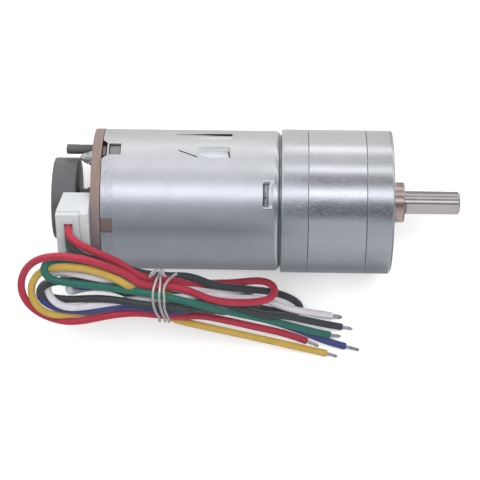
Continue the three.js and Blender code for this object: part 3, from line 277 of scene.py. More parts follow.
    "yellow": """
-54.85 -10.67 7.77, -54.85 -11.57 8.92, -54.52 -12.64 9.70,
-53.57 -13.35 8.86, -52.91 -13.94 7.71, -52.16 -14.77 6.80,
-51.09 -15.35 6.04, -49.95 -15.21 5.15, -48.72 -14.91 4.43,
-47.44 -14.78 3.75, -46.13 -14.90 3.13, -44.82 -15.21 2.59,
-43.50 -15.61 2.11, -42.18 -16.00 1.66, -40.84 -16.33 1.20,
-39.50 -16.59 0.69, -38.19 -16.73 0.07, -36.96 -16.82 -0.70,
-35.83 -16.95 -1.62, -34.74 -17.12 -2.57, -33.62 -17.34 -3.47,
-32.43 -17.58 -4.27, -31.15 -17.96 -4.84, -30.33 -19.05 -5.17,
-31.13 -20.19 -4.97, -32.41 -20.26 -4.32, -33.51 -19.92 -3.43,
-34.41 -19.61 -2.33, -35.12 -19.33 -1.09, -35.62 -18.94 0.21,
-36.09 -18.24 1.40, -36.84 -17.44 2.34, -37.87 -16.83 3.15,
-39.08 -16.43 3.86, -40.36 -16.17 4.50, -41.67 -15.98 5.11,
-42.96 -15.76 5.74, -44.10 -15.40 6.55, -44.60 -15.16 7.88,
-44.95 -14.96 9.28, -45.83 -14.39 10.20, -46.97 -13.73 10.83,
-48.15 -13.18 11.47, -49.37 -12.71 12.12, -50.61 -12.31 12.77,
-51.91 -12.01 13.34, -53.30 -11.84 13.74, -54.75 -11.79 13.79,
-56.13 -11.82 13.38, -57.34 -11.91 12.60, -58.45 -12.14 11.68,
-59.53 -12.61 10.83, -60.48 -13.35 10.03, -61.20 -14.35 9.27,
-61.60 -15.55 8.56, -61.59 -16.83 7.89, -61.18 -18.07 7.26,
-60.39 -19.11 6.66, -59.32 -19.87 6.04, -58.06 -20.26 5.45,
-56.72 -20.31 4.90, -55.35 -20.16 4.42, -53.97 -19.98 3.99,
-52.57 -19.86 3.62, -51.14 -19.82 3.33, -49.70 -19.82 3.14,
-48.25 -19.79 2.99, -46.80 -19.71 2.85, -45.36 -19.60 2.70,
-43.92 -19.47 2.53, -42.48 -19.36 2.31, -41.06 -19.37 2.02,
-39.72 -19.76 1.67, -38.49 -20.40 1.24, -37.30 -20.99 0.68,
-36.04 -21.37 0.05, -34.75 -21.69 -0.55, -33.47 -22.00 -1.16,
-32.28 -22.29 -1.95, -31.08 -22.58 -2.72, -29.87 -22.87 -3.48,
-28.65 -23.16 -4.22, -27.43 -23.45 -4.95, -26.19 -23.75 -5.67,
-24.95 -24.05 -6.36, -23.70 -24.34 -7.05, -22.43 -24.65 -7.71,
-21.16 -24.95 -8.35, -19.87 -25.25 -8.95, -18.56 -25.56 -9.51,
-17.23 -25.87 -10.02, -15.88 -26.18 -10.47, -14.51 -26.49 -10.85,
-13.13 -26.80 -11.19, -11.74 -27.11 -11.48, -10.34 -27.42 -11.75""",
    "white": """
-54.85 -12.20 6.57, -54.85 -13.09 7.70, -54.95 -14.10 8.74,
-55.19 -15.48 8.69, -55.06 -16.17 7.47, -54.51 -16.02 6.16,
-53.65 -15.77 5.03, -52.59 -15.59 4.07, -51.40 -15.52 3.26,
-50.11 -15.56 2.64, -48.71 -15.72 2.34, -47.31 -16.00 2.08,
-45.94 -16.38 1.86, -44.58 -16.82 1.67, -43.22 -17.27 1.47,
-41.85 -17.65 1.23, -40.46 -17.89 0.91, -39.10 -18.03 0.47,
-37.81 -18.14 -0.16, -36.69 -18.25 -1.06, -35.80 -18.35 -2.18,
-34.91 -18.44 -3.32, -33.94 -18.48 -4.39, -32.88 -18.47 -5.37,
-31.72 -18.42 -6.21, -30.44 -18.36 -6.88, -29.07 -18.29 -7.35,
-27.67 -18.15 -7.62, -26.26 -17.86 -7.72, -24.96 -17.28 -7.65,
-24.07 -16.32 -7.25, -24.37 -15.76 -6.15, -25.40 -15.82 -5.17,
-26.55 -16.04 -4.32, -27.75 -16.23 -3.54, -28.97 -16.34 -2.79,
-30.17 -16.35 -1.98, -31.31 -16.26 -1.11, -32.38 -16.08 -0.15,
-33.38 -15.87 0.87, -34.40 -15.76 1.88, -35.54 -15.73 2.77,
-36.82 -15.57 3.39, -38.14 -15.23 3.85, -39.48 -14.90 4.28,
-40.84 -14.65 4.70, -42.19 -14.47 5.16, -43.52 -14.31 5.70,
-44.74 -14.15 6.45, -45.77 -14.06 7.46, -46.82 -14.02 8.44,
-47.95 -13.96 9.34, -49.16 -13.81 10.10, -50.41 -13.57 10.77,
-51.76 -13.29 11.22, -53.14 -13.01 11.50, -54.56 -12.79 11.54,
-55.95 -12.66 11.25, -57.24 -12.82 10.66, -58.25 -13.43 9.87,
-58.80 -14.50 9.13, -58.79 -15.85 8.64, -58.30 -17.13 8.24,
-57.39 -18.12 7.72, -56.17 -18.69 7.23, -54.79 -18.88 6.85,
-53.38 -18.78 6.57, -51.96 -18.58 6.35, -50.54 -18.36 6.21,
-49.13 -18.12 6.07, -47.71 -17.88 5.94, -46.29 -17.65 5.86,
-44.85 -17.48 5.85, -43.42 -17.37 5.72, -41.99 -17.32 5.51,
-40.57 -17.27 5.28, -39.16 -17.18 5.00, -37.77 -17.06 4.60,
-36.42 -16.95 4.12, -35.10 -16.85 3.53, -33.86 -16.74 2.81,
-32.65 -16.68 2.02, -31.46 -16.68 1.22, -30.26 -16.74 0.41,
-29.06 -16.85 -0.38, -27.86 -17.01 -1.17, -26.66 -17.18 -1.95,
-25.46 -17.27 -2.75, -24.26 -17.30 -3.55, -23.07 -17.35 -4.36,
-21.89 -17.53 -5.17, -20.74 -17.92 -5.95, -19.61 -18.42 -6.69,
-18.44 -18.89 -7.39, -17.19 -19.24 -8.02, -15.89 -19.52 -8.58,
-14.56 -19.77 -9.08, -13.34 -19.98 -9.83, -12.09 -20.18 -10.51,
-10.80 -20.39 -11.15, -9.51 -20.59 -11.75""",
}

# ---------------------------------------------------------------- shader graphs

WIDE, TIGHT = (0.3, 0.7), (0.35, 0.65)  # the spans of a noise's values that are used


def srgb(*channels):
    def linear(c):
        c /= 255
        return c / 12.92 if c <= 0.04045 else ((c + 0.055) / 1.055) ** 2.4

    return tuple(linear(c) for c in channels)


def shade(colour, factor, lift=0.0):
    return tuple(min(1, c * factor + lift) for c in colour)


class Graph:
    """The node tree of a material or world, with positions in mm."""

    def __init__(self, owner):
        self.owner = owner
        owner.use_nodes = True
        self.tree = owner.node_tree
        self.tree.nodes.clear()

    def node(self, kind, inputs=(), **settings):
        """A new node; inputs are links or values, in order or by key"""
        new = self.tree.nodes.new("ShaderNode" + kind)
        for key, value in settings.items():
            setattr(new, key, value)
        pairs = inputs.items() if isinstance(inputs, dict) else enumerate(inputs)
        for key, value in pairs:
            socket = new.inputs[key]
            if isinstance(value, bpy.types.NodeSocket):
                self.tree.links.new(value, socket)
            else:
                socket.default_value = (*value, 1) if socket.type == "RGBA" else value
        return new

    @cached_property
    def pos(self):
        """The position as drawn, in mm"""
        local = self.node("TexCoord").outputs["Object"]
        mm = self.node("VectorMath", {0: local, 3: 1000}, operation="SCALE").outputs[0]
        return self.node("VectorMath", [mm, (SHAFT_END, 0, 0)], operation="ADD").outputs[0]

    @cached_property
    def cyl(self):
        """(x, arc length, radius) about the motor's axis, in mm"""
        x, y, z = self.xyz(self.pos)
        radius = self.math("SQRT", self.add(self.mul(y, y), self.mul(z, z)))
        return x, self.mul(self.math("ARCTAN2", y, z), 12.0), radius

    def math(self, operation, a, b=0.0, clamp=False):
        return self.node("Math", [a, b], operation=operation, use_clamp=clamp).outputs[0]

    def add(self, a, b):
        return self.math("ADD", a, b)

    def mul(self, a, b):
        return self.math("MULTIPLY", a, b)

    def xyz(self, vector):
        return self.node("SeparateXYZ", [vector]).outputs

    def combine(self, x, y, z):
        return self.node("CombineXYZ", [x, y, z]).outputs[0]

    def stretched(self, along, around, depth=0.0):
        """Coordinates on the motor's wall, scaled along X and around it"""
        x, arc, _ = self.cyl
        return self.combine(self.mul(x, along), self.mul(arc, around), depth)

    def noise(self, vector, scale, detail=2.0, rough=0.5, distort=0.0):
        inputs = {
            "Vector": vector, "Scale": scale, "Detail": detail,
            "Roughness": rough, "Distortion": distort,
        }
        return self.node("TexNoise", inputs).outputs[0]

    def ramp(self, factor, stops):
        """stops are (position, colour or grey)"""
        new = self.node("ValToRGB", [factor])
        elements = new.color_ramp.elements
        while len(elements) > 1:
            elements.remove(elements[-1])
        for i, (position, colour) in enumerate(stops):
            element = elements.new(position) if i else elements[0]
            element.position = position
            element.color = (*colour, 1) if isinstance(colour, tuple) else (*[colour] * 3, 1)
        return new.outputs[0]

    def remap(self, value, span=WIDE, to=(0, 1)):
        return self.node("MapRange", [value, *span, *to]).outputs[0]

    def mix(self, factor, a, b, blend="MIX"):
        inputs = {0: factor, 6: a, 7: b}
        return self.node("Mix", inputs, data_type="RGBA", blend_type=blend).outputs[2]

    def bump(self, height, depth, over=None):
        """depth in mm; over is a normal to add to"""
        inputs = {"Strength": 1.0, "Distance": depth * MM, "Height": height}
        if over is not None:
            inputs["Normal"] = over
        return self.node("Bump", inputs).outputs[0]

    def ripples(self, stretch, scale, depth, over):
        """Slow waves in a metal wall, drawn out along X"""
        x, arc, radius = self.cyl
        wall = self.combine(self.mul(x, stretch), arc, radius)
        return self.bump(self.noise(wall, scale, detail=2, rough=0.5), depth, over)

    def surface(self, shader):
        self.node("OutputMaterial", [shader.outputs[0]])
        return self.owner

    def principled(self, **inputs):
        named = {key.replace("_", " "): value for key, value in inputs.items()}
        return self.surface(self.node("BsdfPrincipled", named))


def new_graph(name):
    return Graph(bpy.data.materials.new(name))


# ---------------------------------------------------------------- materials


def plated(name, base, rough, cell, bump, wave):
    """Plated steel with a fine crystalline bloom: each grain mirrors a little differently."""
    mat = new_graph(name)
    x, arc, radius = mat.cyl
    wall = mat.combine(x, arc, mat.mul(radius, 1.0))
    cells = mat.node("TexVoronoi", {"Vector": wall, "Scale": cell}, feature="F1").outputs[1]
    grain = mat.xyz(cells)[0]
    fine = mat.noise(wall, scale=cell * 2.3, detail=3, rough=0.65)
    blotch = mat.noise(wall, scale=0.22, detail=3, rough=0.6, distort=0.4)
    colour = mat.mix(mat.remap(blotch), shade(base, 0.93), base)
    colour = mat.mix(mat.remap(fine, (0.35, 0.7), (0, 0.25)), colour, shade(base, 1.12))
    height = mat.add(mat.mul(grain, 0.5), mat.mul(fine, 0.6))
    return mat.principled(
        Base_Color=colour,
        Metallic=1.0,
        Roughness=mat.add(mat.remap(grain, (0, 1), rough), mat.remap(blotch, to=(-0.04, 0.05))),
        Normal=mat.ripples(stretch=0.35, scale=0.55, depth=wave, over=mat.bump(height, bump)),
    )


def turned_steel():
    """Steel with fine lathe lines round its axis."""
    mat = new_graph("turned_shaft")
    base = srgb(200, 195, 197)
    lines = mat.noise(mat.stretched(along=7.0, around=0.06), scale=1.0, detail=4, rough=0.7)
    blotch = mat.noise(mat.pos, scale=0.35, detail=3, rough=0.6)
    return mat.principled(
        Base_Color=mat.mix(mat.remap(blotch), shade(base, 0.92), base),
        Metallic=1.0,
        Roughness=mat.add(mat.remap(lines, to=(0.12, 0.2)), mat.remap(blotch, to=(-0.03, 0.04))),
        Normal=mat.bump(lines, 0.003),
    )


def can_metal():
    """Smooth, faintly wavy nickel with draw marks along its length, scuffs, a duller rear rim, and painted
    shade where the wall sinks inwards.
    """
    mat = new_graph("nickel_can")
    x, arc, radius = mat.cyl
    wall = mat.combine(x, arc, radius)
    draw = mat.noise(mat.stretched(along=0.16, around=2.6), scale=1.0, detail=4, rough=0.6)
    blotch = mat.noise(wall, scale=0.2, detail=4, rough=0.6, distort=0.6)
    speck = mat.noise(wall, scale=2.4, detail=4, rough=0.65)
    scratches = mat.stretched(along=0.9, around=3.0, depth=3.0)
    scuff = mat.remap(mat.noise(scratches, scale=1.0, detail=5, rough=0.75), (0.6, 0.78))
    rim = mat.remap(x, (-47.75, -47.4), (1, 0))
    rim_dirt = mat.remap(mat.noise(wall, scale=1.1, detail=4, rough=0.7), (0.42, 0.66), (0, 0.32))
    rim_dirt = mat.math("MULTIPLY", rim, rim_dirt, clamp=True)
    base = srgb(212, 213, 215)
    colour = mat.mix(mat.remap(blotch, (0.32, 0.7)), shade(base, 0.93), base)
    colour = mat.mix(rim_dirt, colour, srgb(150, 150, 152))
    # painted shade: the colour darkens towards a dark grey where the wall lies below its outer radius, in
    # the sunken tab, lances, slits, bore and rolled front edge
    colour = mat.mix(mat.remap(radius, (12.16, 11.7), (0, 0.62)), colour, srgb(96, 99, 104))
    rough = mat.add(mat.remap(draw, to=(0.18, 0.22)), mat.remap(speck, (0.4, 0.75), (0, 0.05)))
    rough = mat.add(rough, mat.mul(scuff, 0.08))
    return mat.principled(
        Base_Color=colour,
        Metallic=1.0,
        Roughness=mat.add(rough, mat.mul(rim, 0.08)),
        Normal=mat.ripples(stretch=0.3, scale=0.5, depth=0.008, over=mat.bump(draw, 0.0012)),
    )


def grained(name, colour, rough, grain, bump, vary, **inputs):
    """A fine-grained plastic, ceramic or metal: grain is a noise scale, bump a depth in mm."""
    mat = new_graph(name)
    blotch = mat.noise(mat.pos, scale=0.5, detail=3, rough=0.6)
    fine = mat.noise(mat.pos, scale=grain, detail=4, rough=0.65)
    both = mat.remap(mat.add(mat.mul(blotch, 0.6), mat.mul(fine, 0.4)), TIGHT)
    base = srgb(*colour)
    return mat.principled(
        Base_Color=mat.mix(both, shade(base, 1 - vary), shade(base, 1 + vary)),
        Roughness=mat.remap(fine, to=(rough - 0.05, rough + 0.07)),
        Normal=mat.bump(fine, bump),
        **inputs,
    )


def solder_metal(name, rough, metallic):
    mat = new_graph(name)
    lump = mat.noise(mat.pos, scale=1.6, detail=4, rough=0.65, distort=0.5)
    fine = mat.noise(mat.pos, scale=9, detail=3, rough=0.6)
    return mat.principled(
        Base_Color=mat.mix(mat.remap(lump, TIGHT), srgb(140, 142, 145), srgb(205, 207, 210)),
        Metallic=metallic,
        Roughness=mat.remap(fine, to=(rough - 0.08, rough + 0.1)),
        Normal=mat.bump(lump, 0.05, over=mat.bump(fine, 0.006)),
    )


def board_laminate():
    """Brown paper laminate with fine layers along its edge, greyer low on the -Y side."""
    mat = new_graph("laminate")
    layers = mat.noise(mat.stretched(along=7.0, around=0.25), scale=1.0, detail=4, rough=0.7)
    blotch = mat.noise(mat.pos, scale=0.6, detail=4, rough=0.65)
    fine = mat.noise(mat.pos, scale=6, detail=4, rough=0.7)
    face = mat.mix(mat.remap(fine, TIGHT), srgb(98, 74, 60), srgb(126, 98, 80))
    rim = mat.mix(mat.remap(layers, TIGHT), srgb(116, 98, 95), srgb(152, 132, 128))
    rim = mat.mix(mat.remap(blotch, (0.4, 0.65), (0, 0.6)), rim, srgb(132, 116, 102))
    near_side = mat.remap(mat.xyz(mat.pos)[1], (0.5, -4.5))
    grey = mat.mul(near_side, mat.remap(blotch, (0.36, 0.56), (0.25, 0.9)))
    rim = mat.mix(grey, rim, srgb(122, 113, 117))
    return mat.principled(
        Base_Color=mat.mix(mat.remap(mat.cyl[2], (11.95, 12.15)), face, rim),
        Roughness=mat.remap(layers, to=(0.42, 0.6)),
        Normal=mat.bump(layers, 0.01, over=mat.bump(fine, 0.004)),
        Specular_IOR_Level=0.35,
    )


def wire_pvc(name, colour):
    """Slightly glossy insulation with faint flow lines, dulled in patches."""
    mat = new_graph(name)
    flow = mat.node("VectorMath", [mat.pos, (0.8, 1.0, 1.0)], operation="MULTIPLY").outputs[0]
    streak = mat.noise(flow, scale=2.2, detail=4, rough=0.6)
    dirt = mat.noise(mat.pos, scale=0.35, detail=4, rough=0.6)
    base = srgb(*colour)
    shown = mat.mix(mat.remap(dirt, TIGHT), shade(base, 0.86), base)
    return mat.principled(
        Base_Color=mat.mix(
            mat.remap(streak, (0.5, 0.8), (0, 0.18)), shown, shade(base, 1.15, lift=0.02)
        ),
        Roughness=mat.remap(streak, to=(0.28, 0.43)),
        Normal=mat.bump(streak, 0.012),
        Subsurface_Weight=0.12,
        Subsurface_Scale=0.0006,
        Specular_IOR_Level=0.45,
    )


# painted light: a faint white emission makes the nylon glow a little, evening out its shading; the
# subsurface scatter is the nylon's own
IVORY_GLOW = {
    "Subsurface_Weight": 0.12, "Subsurface_Scale": 0.0022,
    "Emission_Color": (0.98, 1.0, 1.0), "Emission_Strength": 0.045,
}

# grained columns: name, sRGB, roughness, grain scale, grain depth in mm, spread of lightness
MATERIALS = {
    "plated_steel": plated(
        "plated_cover", srgb(204, 206, 208), rough=(0.12, 0.18), cell=2.4, bump=0.021, wave=0.003
    ),
    "ring_steel": plated(
        "bright_ring", srgb(210, 211, 213), rough=(0.09, 0.14), cell=2.1, bump=0.015, wave=0.002
    ),
    "can_steel": can_metal(),
    "turned_shaft": turned_steel(),
    "gear_steel": grained("gear_steel", (168, 168, 170), 0.32, 5, 0.004, 0.08, Metallic=1.0),
    "screw_metal": grained("screw_steel", (176, 178, 182), 0.28, 6, 0.004, 0.1, Metallic=1.0),
    "bronze": grained("sintered_bronze", (196, 177, 170), 0.21, 5.5, 0.006, 0.1, Metallic=1.0),
    "brass": grained("brass", (206, 172, 100), 0.3, 5, 0.004, 0.08, Metallic=1.0),
    "copper": grained("copper", (198, 120, 84), 0.3, 5, 0.004, 0.1, Metallic=1.0),
    "disc_ferrite": grained("disc_ferrite", (88, 88, 91), 0.42, 3.4, 0.012, 0.14),
    "magnet": grained("ferrite", (62, 62, 66), 0.6, 3, 0.015, 0.15),
    "brown_plastic": grained("brown_cap", (106, 92, 92), 0.5, 4, 0.01, 0.12),
    "board": board_laminate(),
    "black_plastic": grained("black_sleeve", (84, 84, 85), 0.45, 5, 0.01, 0.12),
    "chip_plastic": grained("chip_black", (36, 36, 38), 0.5, 6, 0.006, 0.12),
    "ceramic": grained("ceramic", (176, 146, 116), 0.4, 5, 0.004, 0.08),
    "grey_block": grained("grey_block", (116, 117, 119), 0.45, 4, 0.008, 0.1),
    "ivory_plastic": grained("nylon", (190, 194, 196), 0.42, 3, 0.006, 0.02, **IVORY_GLOW),
    "solder": solder_metal("solder", rough=0.32, metallic=0.45),
    "tinned": solder_metal("tinned_strands", rough=0.28, metallic=1.0),
    "tie_metal": grained("tie_wire", (212, 209, 206), 0.3, 6, 0.006, 0.12, Metallic=0.8),
}
for wire, colour in WIRE_COLOURS.items():
    MATERIALS[f"{wire}_wire"] = wire_pvc(f"pvc_{wire}", colour)

# ---------------------------------------------------------------- mesh helpers


def new_object(name, data):
    ob = bpy.data.objects.new(name, data)
    bpy.context.scene.collection.objects.link(ob)
    return ob


def make(name, verts, faces, mat=None, angle=35):
    """A closed mesh in mm, its faces turned outwards; mat is a key of MATERIALS"""
    mesh = bpy.data.meshes.new(name)
    mesh.from_pydata([(x * MM, y * MM, z * MM) for x, y, z in verts], [], faces)
    mesh.validate()
    bm = bmesh.new()
    bm.from_mesh(mesh)
    bmesh.ops.remove_doubles(bm, verts=bm.verts, dist=1e-7)
    bmesh.ops.recalc_face_normals(bm, faces=bm.faces)
    if bm.calc_volume(signed=True) < 0:
        bmesh.ops.reverse_faces(bm, faces=bm.faces)
    bm.to_mesh(mesh)
    bm.free()
    ob = new_object(name, mesh)
    if mat:
        mesh.materials.append(MATERIALS[mat])
    smooth(ob, angle)
    return ob


def smooth(ob, angle=35):
    mesh = ob.data
    mesh.polygons.foreach_set("use_smooth", [True] * len(mesh.polygons))
    mesh.set_sharp_from_angle(angle=radians(angle))
    mesh.update()


def place(ob, node=None, body="housing"):
    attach(ob, body)
    if node:
        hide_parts(node)


def applied(ob):
    """Applies every modifier on ob."""
    bpy.context.view_layer.update()
    graph = bpy.context.evaluated_depsgraph_get()
    mesh = bpy.data.meshes.new_from_object(ob.evaluated_get(graph))
    old = ob.data
    ob.modifiers.clear()
    ob.data = mesh
    bpy.data.meshes.remove(old)


def discard(ob):
    mesh = ob.data
    bpy.data.objects.remove(ob)
    bpy.data.meshes.remove(mesh)


def cut(ob, cutters, operation="DIFFERENCE", crossing=False):
    """Cutters that don't cross each other go in as one, which is the sounder cut"""
    if not crossing and len(cutters) > 1:
        verts, faces = [], []
        for cutter in cutters:
            start = len(verts)
            verts += [tuple(v.co) for v in cutter.data.vertices]
            faces += [tuple(start + i for i in p.vertices) for p in cutter.data.polygons]
            discard(cutter)
        mesh = bpy.data.meshes.new("cutter")
        mesh.from_pydata(verts, [], faces)
        cutters = [new_object("cutter", mesh)]
    for cutter in cutters:
        modifier = ob.modifiers.new("b", "BOOLEAN")
        modifier.object = cutter
        modifier.operation = operation
        modifier.solver = "EXACT"
    applied(ob)
    for cutter in cutters:
        discard(cutter)


def tidy(ob, angle):
    """Merges what a cut left doubled, then smooths"""
    dist = 2e-7
    bm = bmesh.new()
    bm.from_mesh(ob.data)
    bmesh.ops.remove_doubles(bm, verts=bm.verts, dist=dist)
    bmesh.ops.dissolve_degenerate(bm, dist=dist, edges=bm.edges)
    bm.to_mesh(ob.data)
    bm.free()
    smooth(ob, angle)


def bevel(ob, width, segments):
    modifier = ob.modifiers.new("bevel", "BEVEL")
    modifier.width = width * MM
    modifier.segments = segments
    modifier.limit_method = "ANGLE"
    modifier.angle_limit = radians(30)
    modifier.miter_outer = "MITER_ARC"
    applied(ob)


def fillet(profile, closed, steps):
    """[(radius, x, corner radius)] with its corners rounded, as [(radius, x)]"""
    out = []
    count = len(profile)
    for i, point in enumerate(profile):
        corner = Vector(point[:2])
        size = point[2] if len(point) > 2 else 0
        if size <= 0 or (not closed and i in (0, count - 1)):
            out.append(point[:2])
            continue
        back = Vector(profile[i - 1][:2]) - corner
        ahead = Vector(profile[(i + 1) % count][:2]) - corner
        u, v = back.normalized(), ahead.normalized()
        angle = u.angle(v)
        if angle > pi - 0.02:
            out.append(point[:2])
            continue
        reach = min(size / tan(angle / 2), back.length * 0.49, ahead.length * 0.49)
        radius = reach * tan(angle / 2)
        centre = corner + (u + v).normalized() * (radius / sin(angle / 2))
        first, last = corner + u * reach - centre, corner + v * reach - centre
        start = atan2(first.y, first.x)
        turn = atan2(last.y, last.x) - start
        turn = (turn + pi) % (2 * pi) - pi
        for j in range(steps + 1):
            t = start + turn * j / steps
            out.append((centre.x + radius * cos(t), centre.y + radius * sin(t)))
    return out


def lathe(name, profile, mat=None, seg=160, closed=False, y=0.0, z=0.0, corner_steps=5):
    """profile [(radius, x, optional corner radius)], turned about the X axis through (y, z)"""
    verts, rings = [], []
    for r, x in fillet(profile, closed, corner_steps):
        if r < 1e-6:
            rings.append([len(verts)])
            verts.append((x, y, z))
        else:
            rings.append(list(range(len(verts), len(verts) + seg)))
            for i in range(seg):
                a = 2 * pi * i / seg
                verts.append((x, y + r * sin(a), z + r * cos(a)))
    faces = []
    for p, q in list(zip(rings, rings[1:])) + ([(rings[-1], rings[0])] if closed else []):
        for i in range(seg):
            j = (i + 1) % seg
            if len(p) == 1:
                faces.append((p[0], q[j], q[i]))
            elif len(q) == 1:
                faces.append((p[i], p[j], q[0]))
            else:
                faces.append((p[i], p[j], q[j], q[i]))
    return make(name, verts, faces, mat)


def prism(name, outline, lo, hi, to3d, mat=None):
    """A 2D outline drawn from lo to hi; to3d(u, v, w) gives a point"""
    n = len(outline)
    verts = [to3d(u, v, w) for w in (lo, hi) for u, v in outline]
    faces = [tuple(range(n)), tuple(range(2 * n - 1, n - 1, -1))]
    faces += [(i, (i + 1) % n, n + (i + 1) % n, n + i) for i in range(n)]
    return make(name, verts, faces, mat)


def rectangle(u, v):
    return [(u[0], v[0]), (u[1], v[0]), (u[1], v[1]), (u[0], v[1])]


def span(centre, half):
    return (centre - half, centre + half)


def box(name, xs, ys, zs, mat=None):
    return prism(name, rectangle(ys, zs), *xs, lambda u, v, w: (w, u, v), mat)


def block(name, xs, ys, zs, mat, slot, edge, segments=2, node=None):
    """A box with bevelled edges, placed on the housing"""
    ob = box(name, xs, ys, zs, mat)
    bevel(ob, edge, segments)
    smooth(ob)
    place(ob, node)


def rod_cutter(r, x0, x1, y, z):
    return lathe("cutter", [(0, x0), (r, x0), (r, x1), (0, x1)], seg=48, y=y, z=z)


def round_normals(ob, *radii):
    """Exact cylinder normals on walls of these radii keep long reflections clean after cuts."""
    mesh = ob.data
    normals = [Vector(c.vector) for c in mesh.corner_normals]
    for face in mesh.polygons:
        if abs(face.normal.x) > 0.02:
            continue
        for corner in face.loop_indices:
            co = mesh.vertices[mesh.loops[corner].vertex_index].co
            outward = Vector((0, co.y, co.z))
            r = outward.length / MM
            if not any(abs(r - wall) < 0.004 for wall in radii):
                continue
            outward.normalize()
            facing = face.normal.dot(outward)
            if abs(facing) > 0.985:
                normals[corner] = outward if facing > 0 else -outward
    mesh.normals_split_custom_set(normals)
    mesh.update()


def catmull(points, step):
    """A centripetal curve through points, sampled about every step mm"""

    def between(a, b, start, end, t):
        return a * ((end - t) / (end - start)) + b * ((t - start) / (end - start))

    pts = [Vector(p) for p in points]
    pts = [pts[0] * 2 - pts[1]] + pts + [pts[-1] * 2 - pts[-2]]
    out = []
    for i in range(1, len(pts) - 2):
        p0, p1, p2, p3 = pts[i - 1 : i + 3]
        t0 = 0
        t1 = t0 + sqrt((p1 - p0).length)
        t2 = t1 + sqrt((p2 - p1).length)
        t3 = t2 + sqrt((p3 - p2).length)
        n = max(1, round((p2 - p1).length / step))
        for k in range(n):
            t = t1 + (t2 - t1) * k / n
            middle = between(p1, p2, t1, t2, t)
            before = between(between(p0, p1, t0, t1, t), middle, t0, t2, t)
            after = between(middle, between(p2, p3, t2, t3, t), t1, t3, t)
            out.append(between(before, after, t1, t2, t))
    out.append(pts[-2].copy())
    return out


def relaxed(path, times):
    """Evens out a path, holding its first three points and its last"""
    for _ in range(times):
        new = [p.copy() for p in path]
        for i in range(3, len(path) - 1):
            new[i] = path[i] * 0.5 + (path[i - 1] + path[i + 1]) * 0.25
        path = new
    return path


def frames(path):
    """Twist-free frames along a path: [(tangent, side, up)]"""
    out = []
    last = len(path) - 1
    side = None
    for i in range(last + 1):
        tangent = (path[min(i + 1, last)] - path[max(i - 1, 0)]).normalized()
        if side is None:
            side = tangent.orthogonal().normalized()
        else:
            side = (side - tangent * side.dot(tangent)).normalized()
        out.append((tangent, side, tangent.cross(side)))
    return out


def sweep(name, path, radius, mat, sides, round_ends=0.0, angle=35):
    """A closed tube; radius is a number or a function of (station, angle round the tube)"""
    axes = frames(path)
    stations = [(p, s, u, i, 1.0) for i, (p, (_, s, u)) in enumerate(zip(path, axes))]
    if round_ends:
        (tip, s, u, i, _), inset = stations[0], axes[0][0] * round_ends * 0.35
        stations[:1] = [(tip, s, u, i, 0.78), (tip + inset, s, u, i, 0.95)]
        (tip, s, u, i, _), inset = stations[-1], axes[-1][0] * round_ends * 0.35
        stations[-1:] = [(tip - inset, s, u, i, 0.95), (tip, s, u, i, 0.78)]
    verts, rings = [], []
    for centre, s, u, i, scale in stations:
        rings.append(list(range(len(verts), len(verts) + sides)))
        for k in range(sides):
            a = 2 * pi * k / sides
            r = (radius(i, a) if callable(radius) else radius) * scale
            verts.append(tuple(centre + s * (r * cos(a)) + u * (r * sin(a))))
    loop = [(k, (k + 1) % sides) for k in range(sides)]
    faces = [(p[k], p[j], q[j], q[k]) for p, q in zip(rings, rings[1:]) for k, j in loop]
    hub = len(verts)
    verts += [tuple(path[0]), tuple(path[-1])]
    faces += [(hub, rings[0][j], rings[0][k]) for k, j in loop]
    faces += [(hub + 1, rings[-1][k], rings[-1][j]) for k, j in loop]
    return make(name, verts, faces, mat, angle)


def roughen(ob, amount, scale, seed):
    """Moves each vertex along its normal by smooth noise: amount in mm, scale in 1/mm"""
    mesh = ob.data
    normals = [v.normal.copy() for v in mesh.vertices]
    offset = Vector((seed, seed * 1.7, seed * 0.3))
    for v, normal in zip(mesh.vertices, normals):
        v.co += normal * (noise.noise(v.co / MM * scale + offset) * amount * MM)
    mesh.update()


def around(r, deg):
    """(y, z) at radius r, deg from +Z towards +Y"""
    return r * sin(radians(deg)), r * cos(radians(deg))


def from_y(r, deg):
    """(y, z) at radius r, deg from +Y towards +Z"""
    return r * cos(radians(deg)), r * sin(radians(deg))


# ---------------------------------------------------------------- gearbox
# lathe profiles list (radius, x, corner radius)

COVER_SCREWS = [from_y(10.4, a) for a in (90, 210, 330)]
MOTOR_SCREWS = [(8.0, 0.0), (-8.0, 0.0)]
PIN_HOLES = [from_y(6.4, a) for a in (60, 120)]
PIN_HOLE_R = 0.78


def tapped_hole(y, z, r=1.26, bottom=-3, pitch=0.5, depth=0.14):
    """A cutter with the ridges of a tapped hole and a lead-in at the front face"""
    profile = [(0, bottom), (r, bottom)]
    x = bottom + pitch * 0.25
    while x < -0.5:
        profile += [(r + depth, x), (r + depth, x + pitch * 0.15), (r, x + pitch * 0.6)]
        x += pitch
    profile += [(r, -0.3), (r + 0.35, 0), (r + 0.35, 1), (0, 1)]
    return lathe("cutter", profile, seg=48, y=y, z=z)


def gearbox_shell(name, profile, mat, node, cutters=()):
    ob = lathe(name, profile, mat, 192, closed=True)
    if cutters:
        cut(ob, cutters)
        tidy(ob, 32)
    round_normals(ob, GEARBOX_R, GEARBOX_BORE)
    place(ob, node)


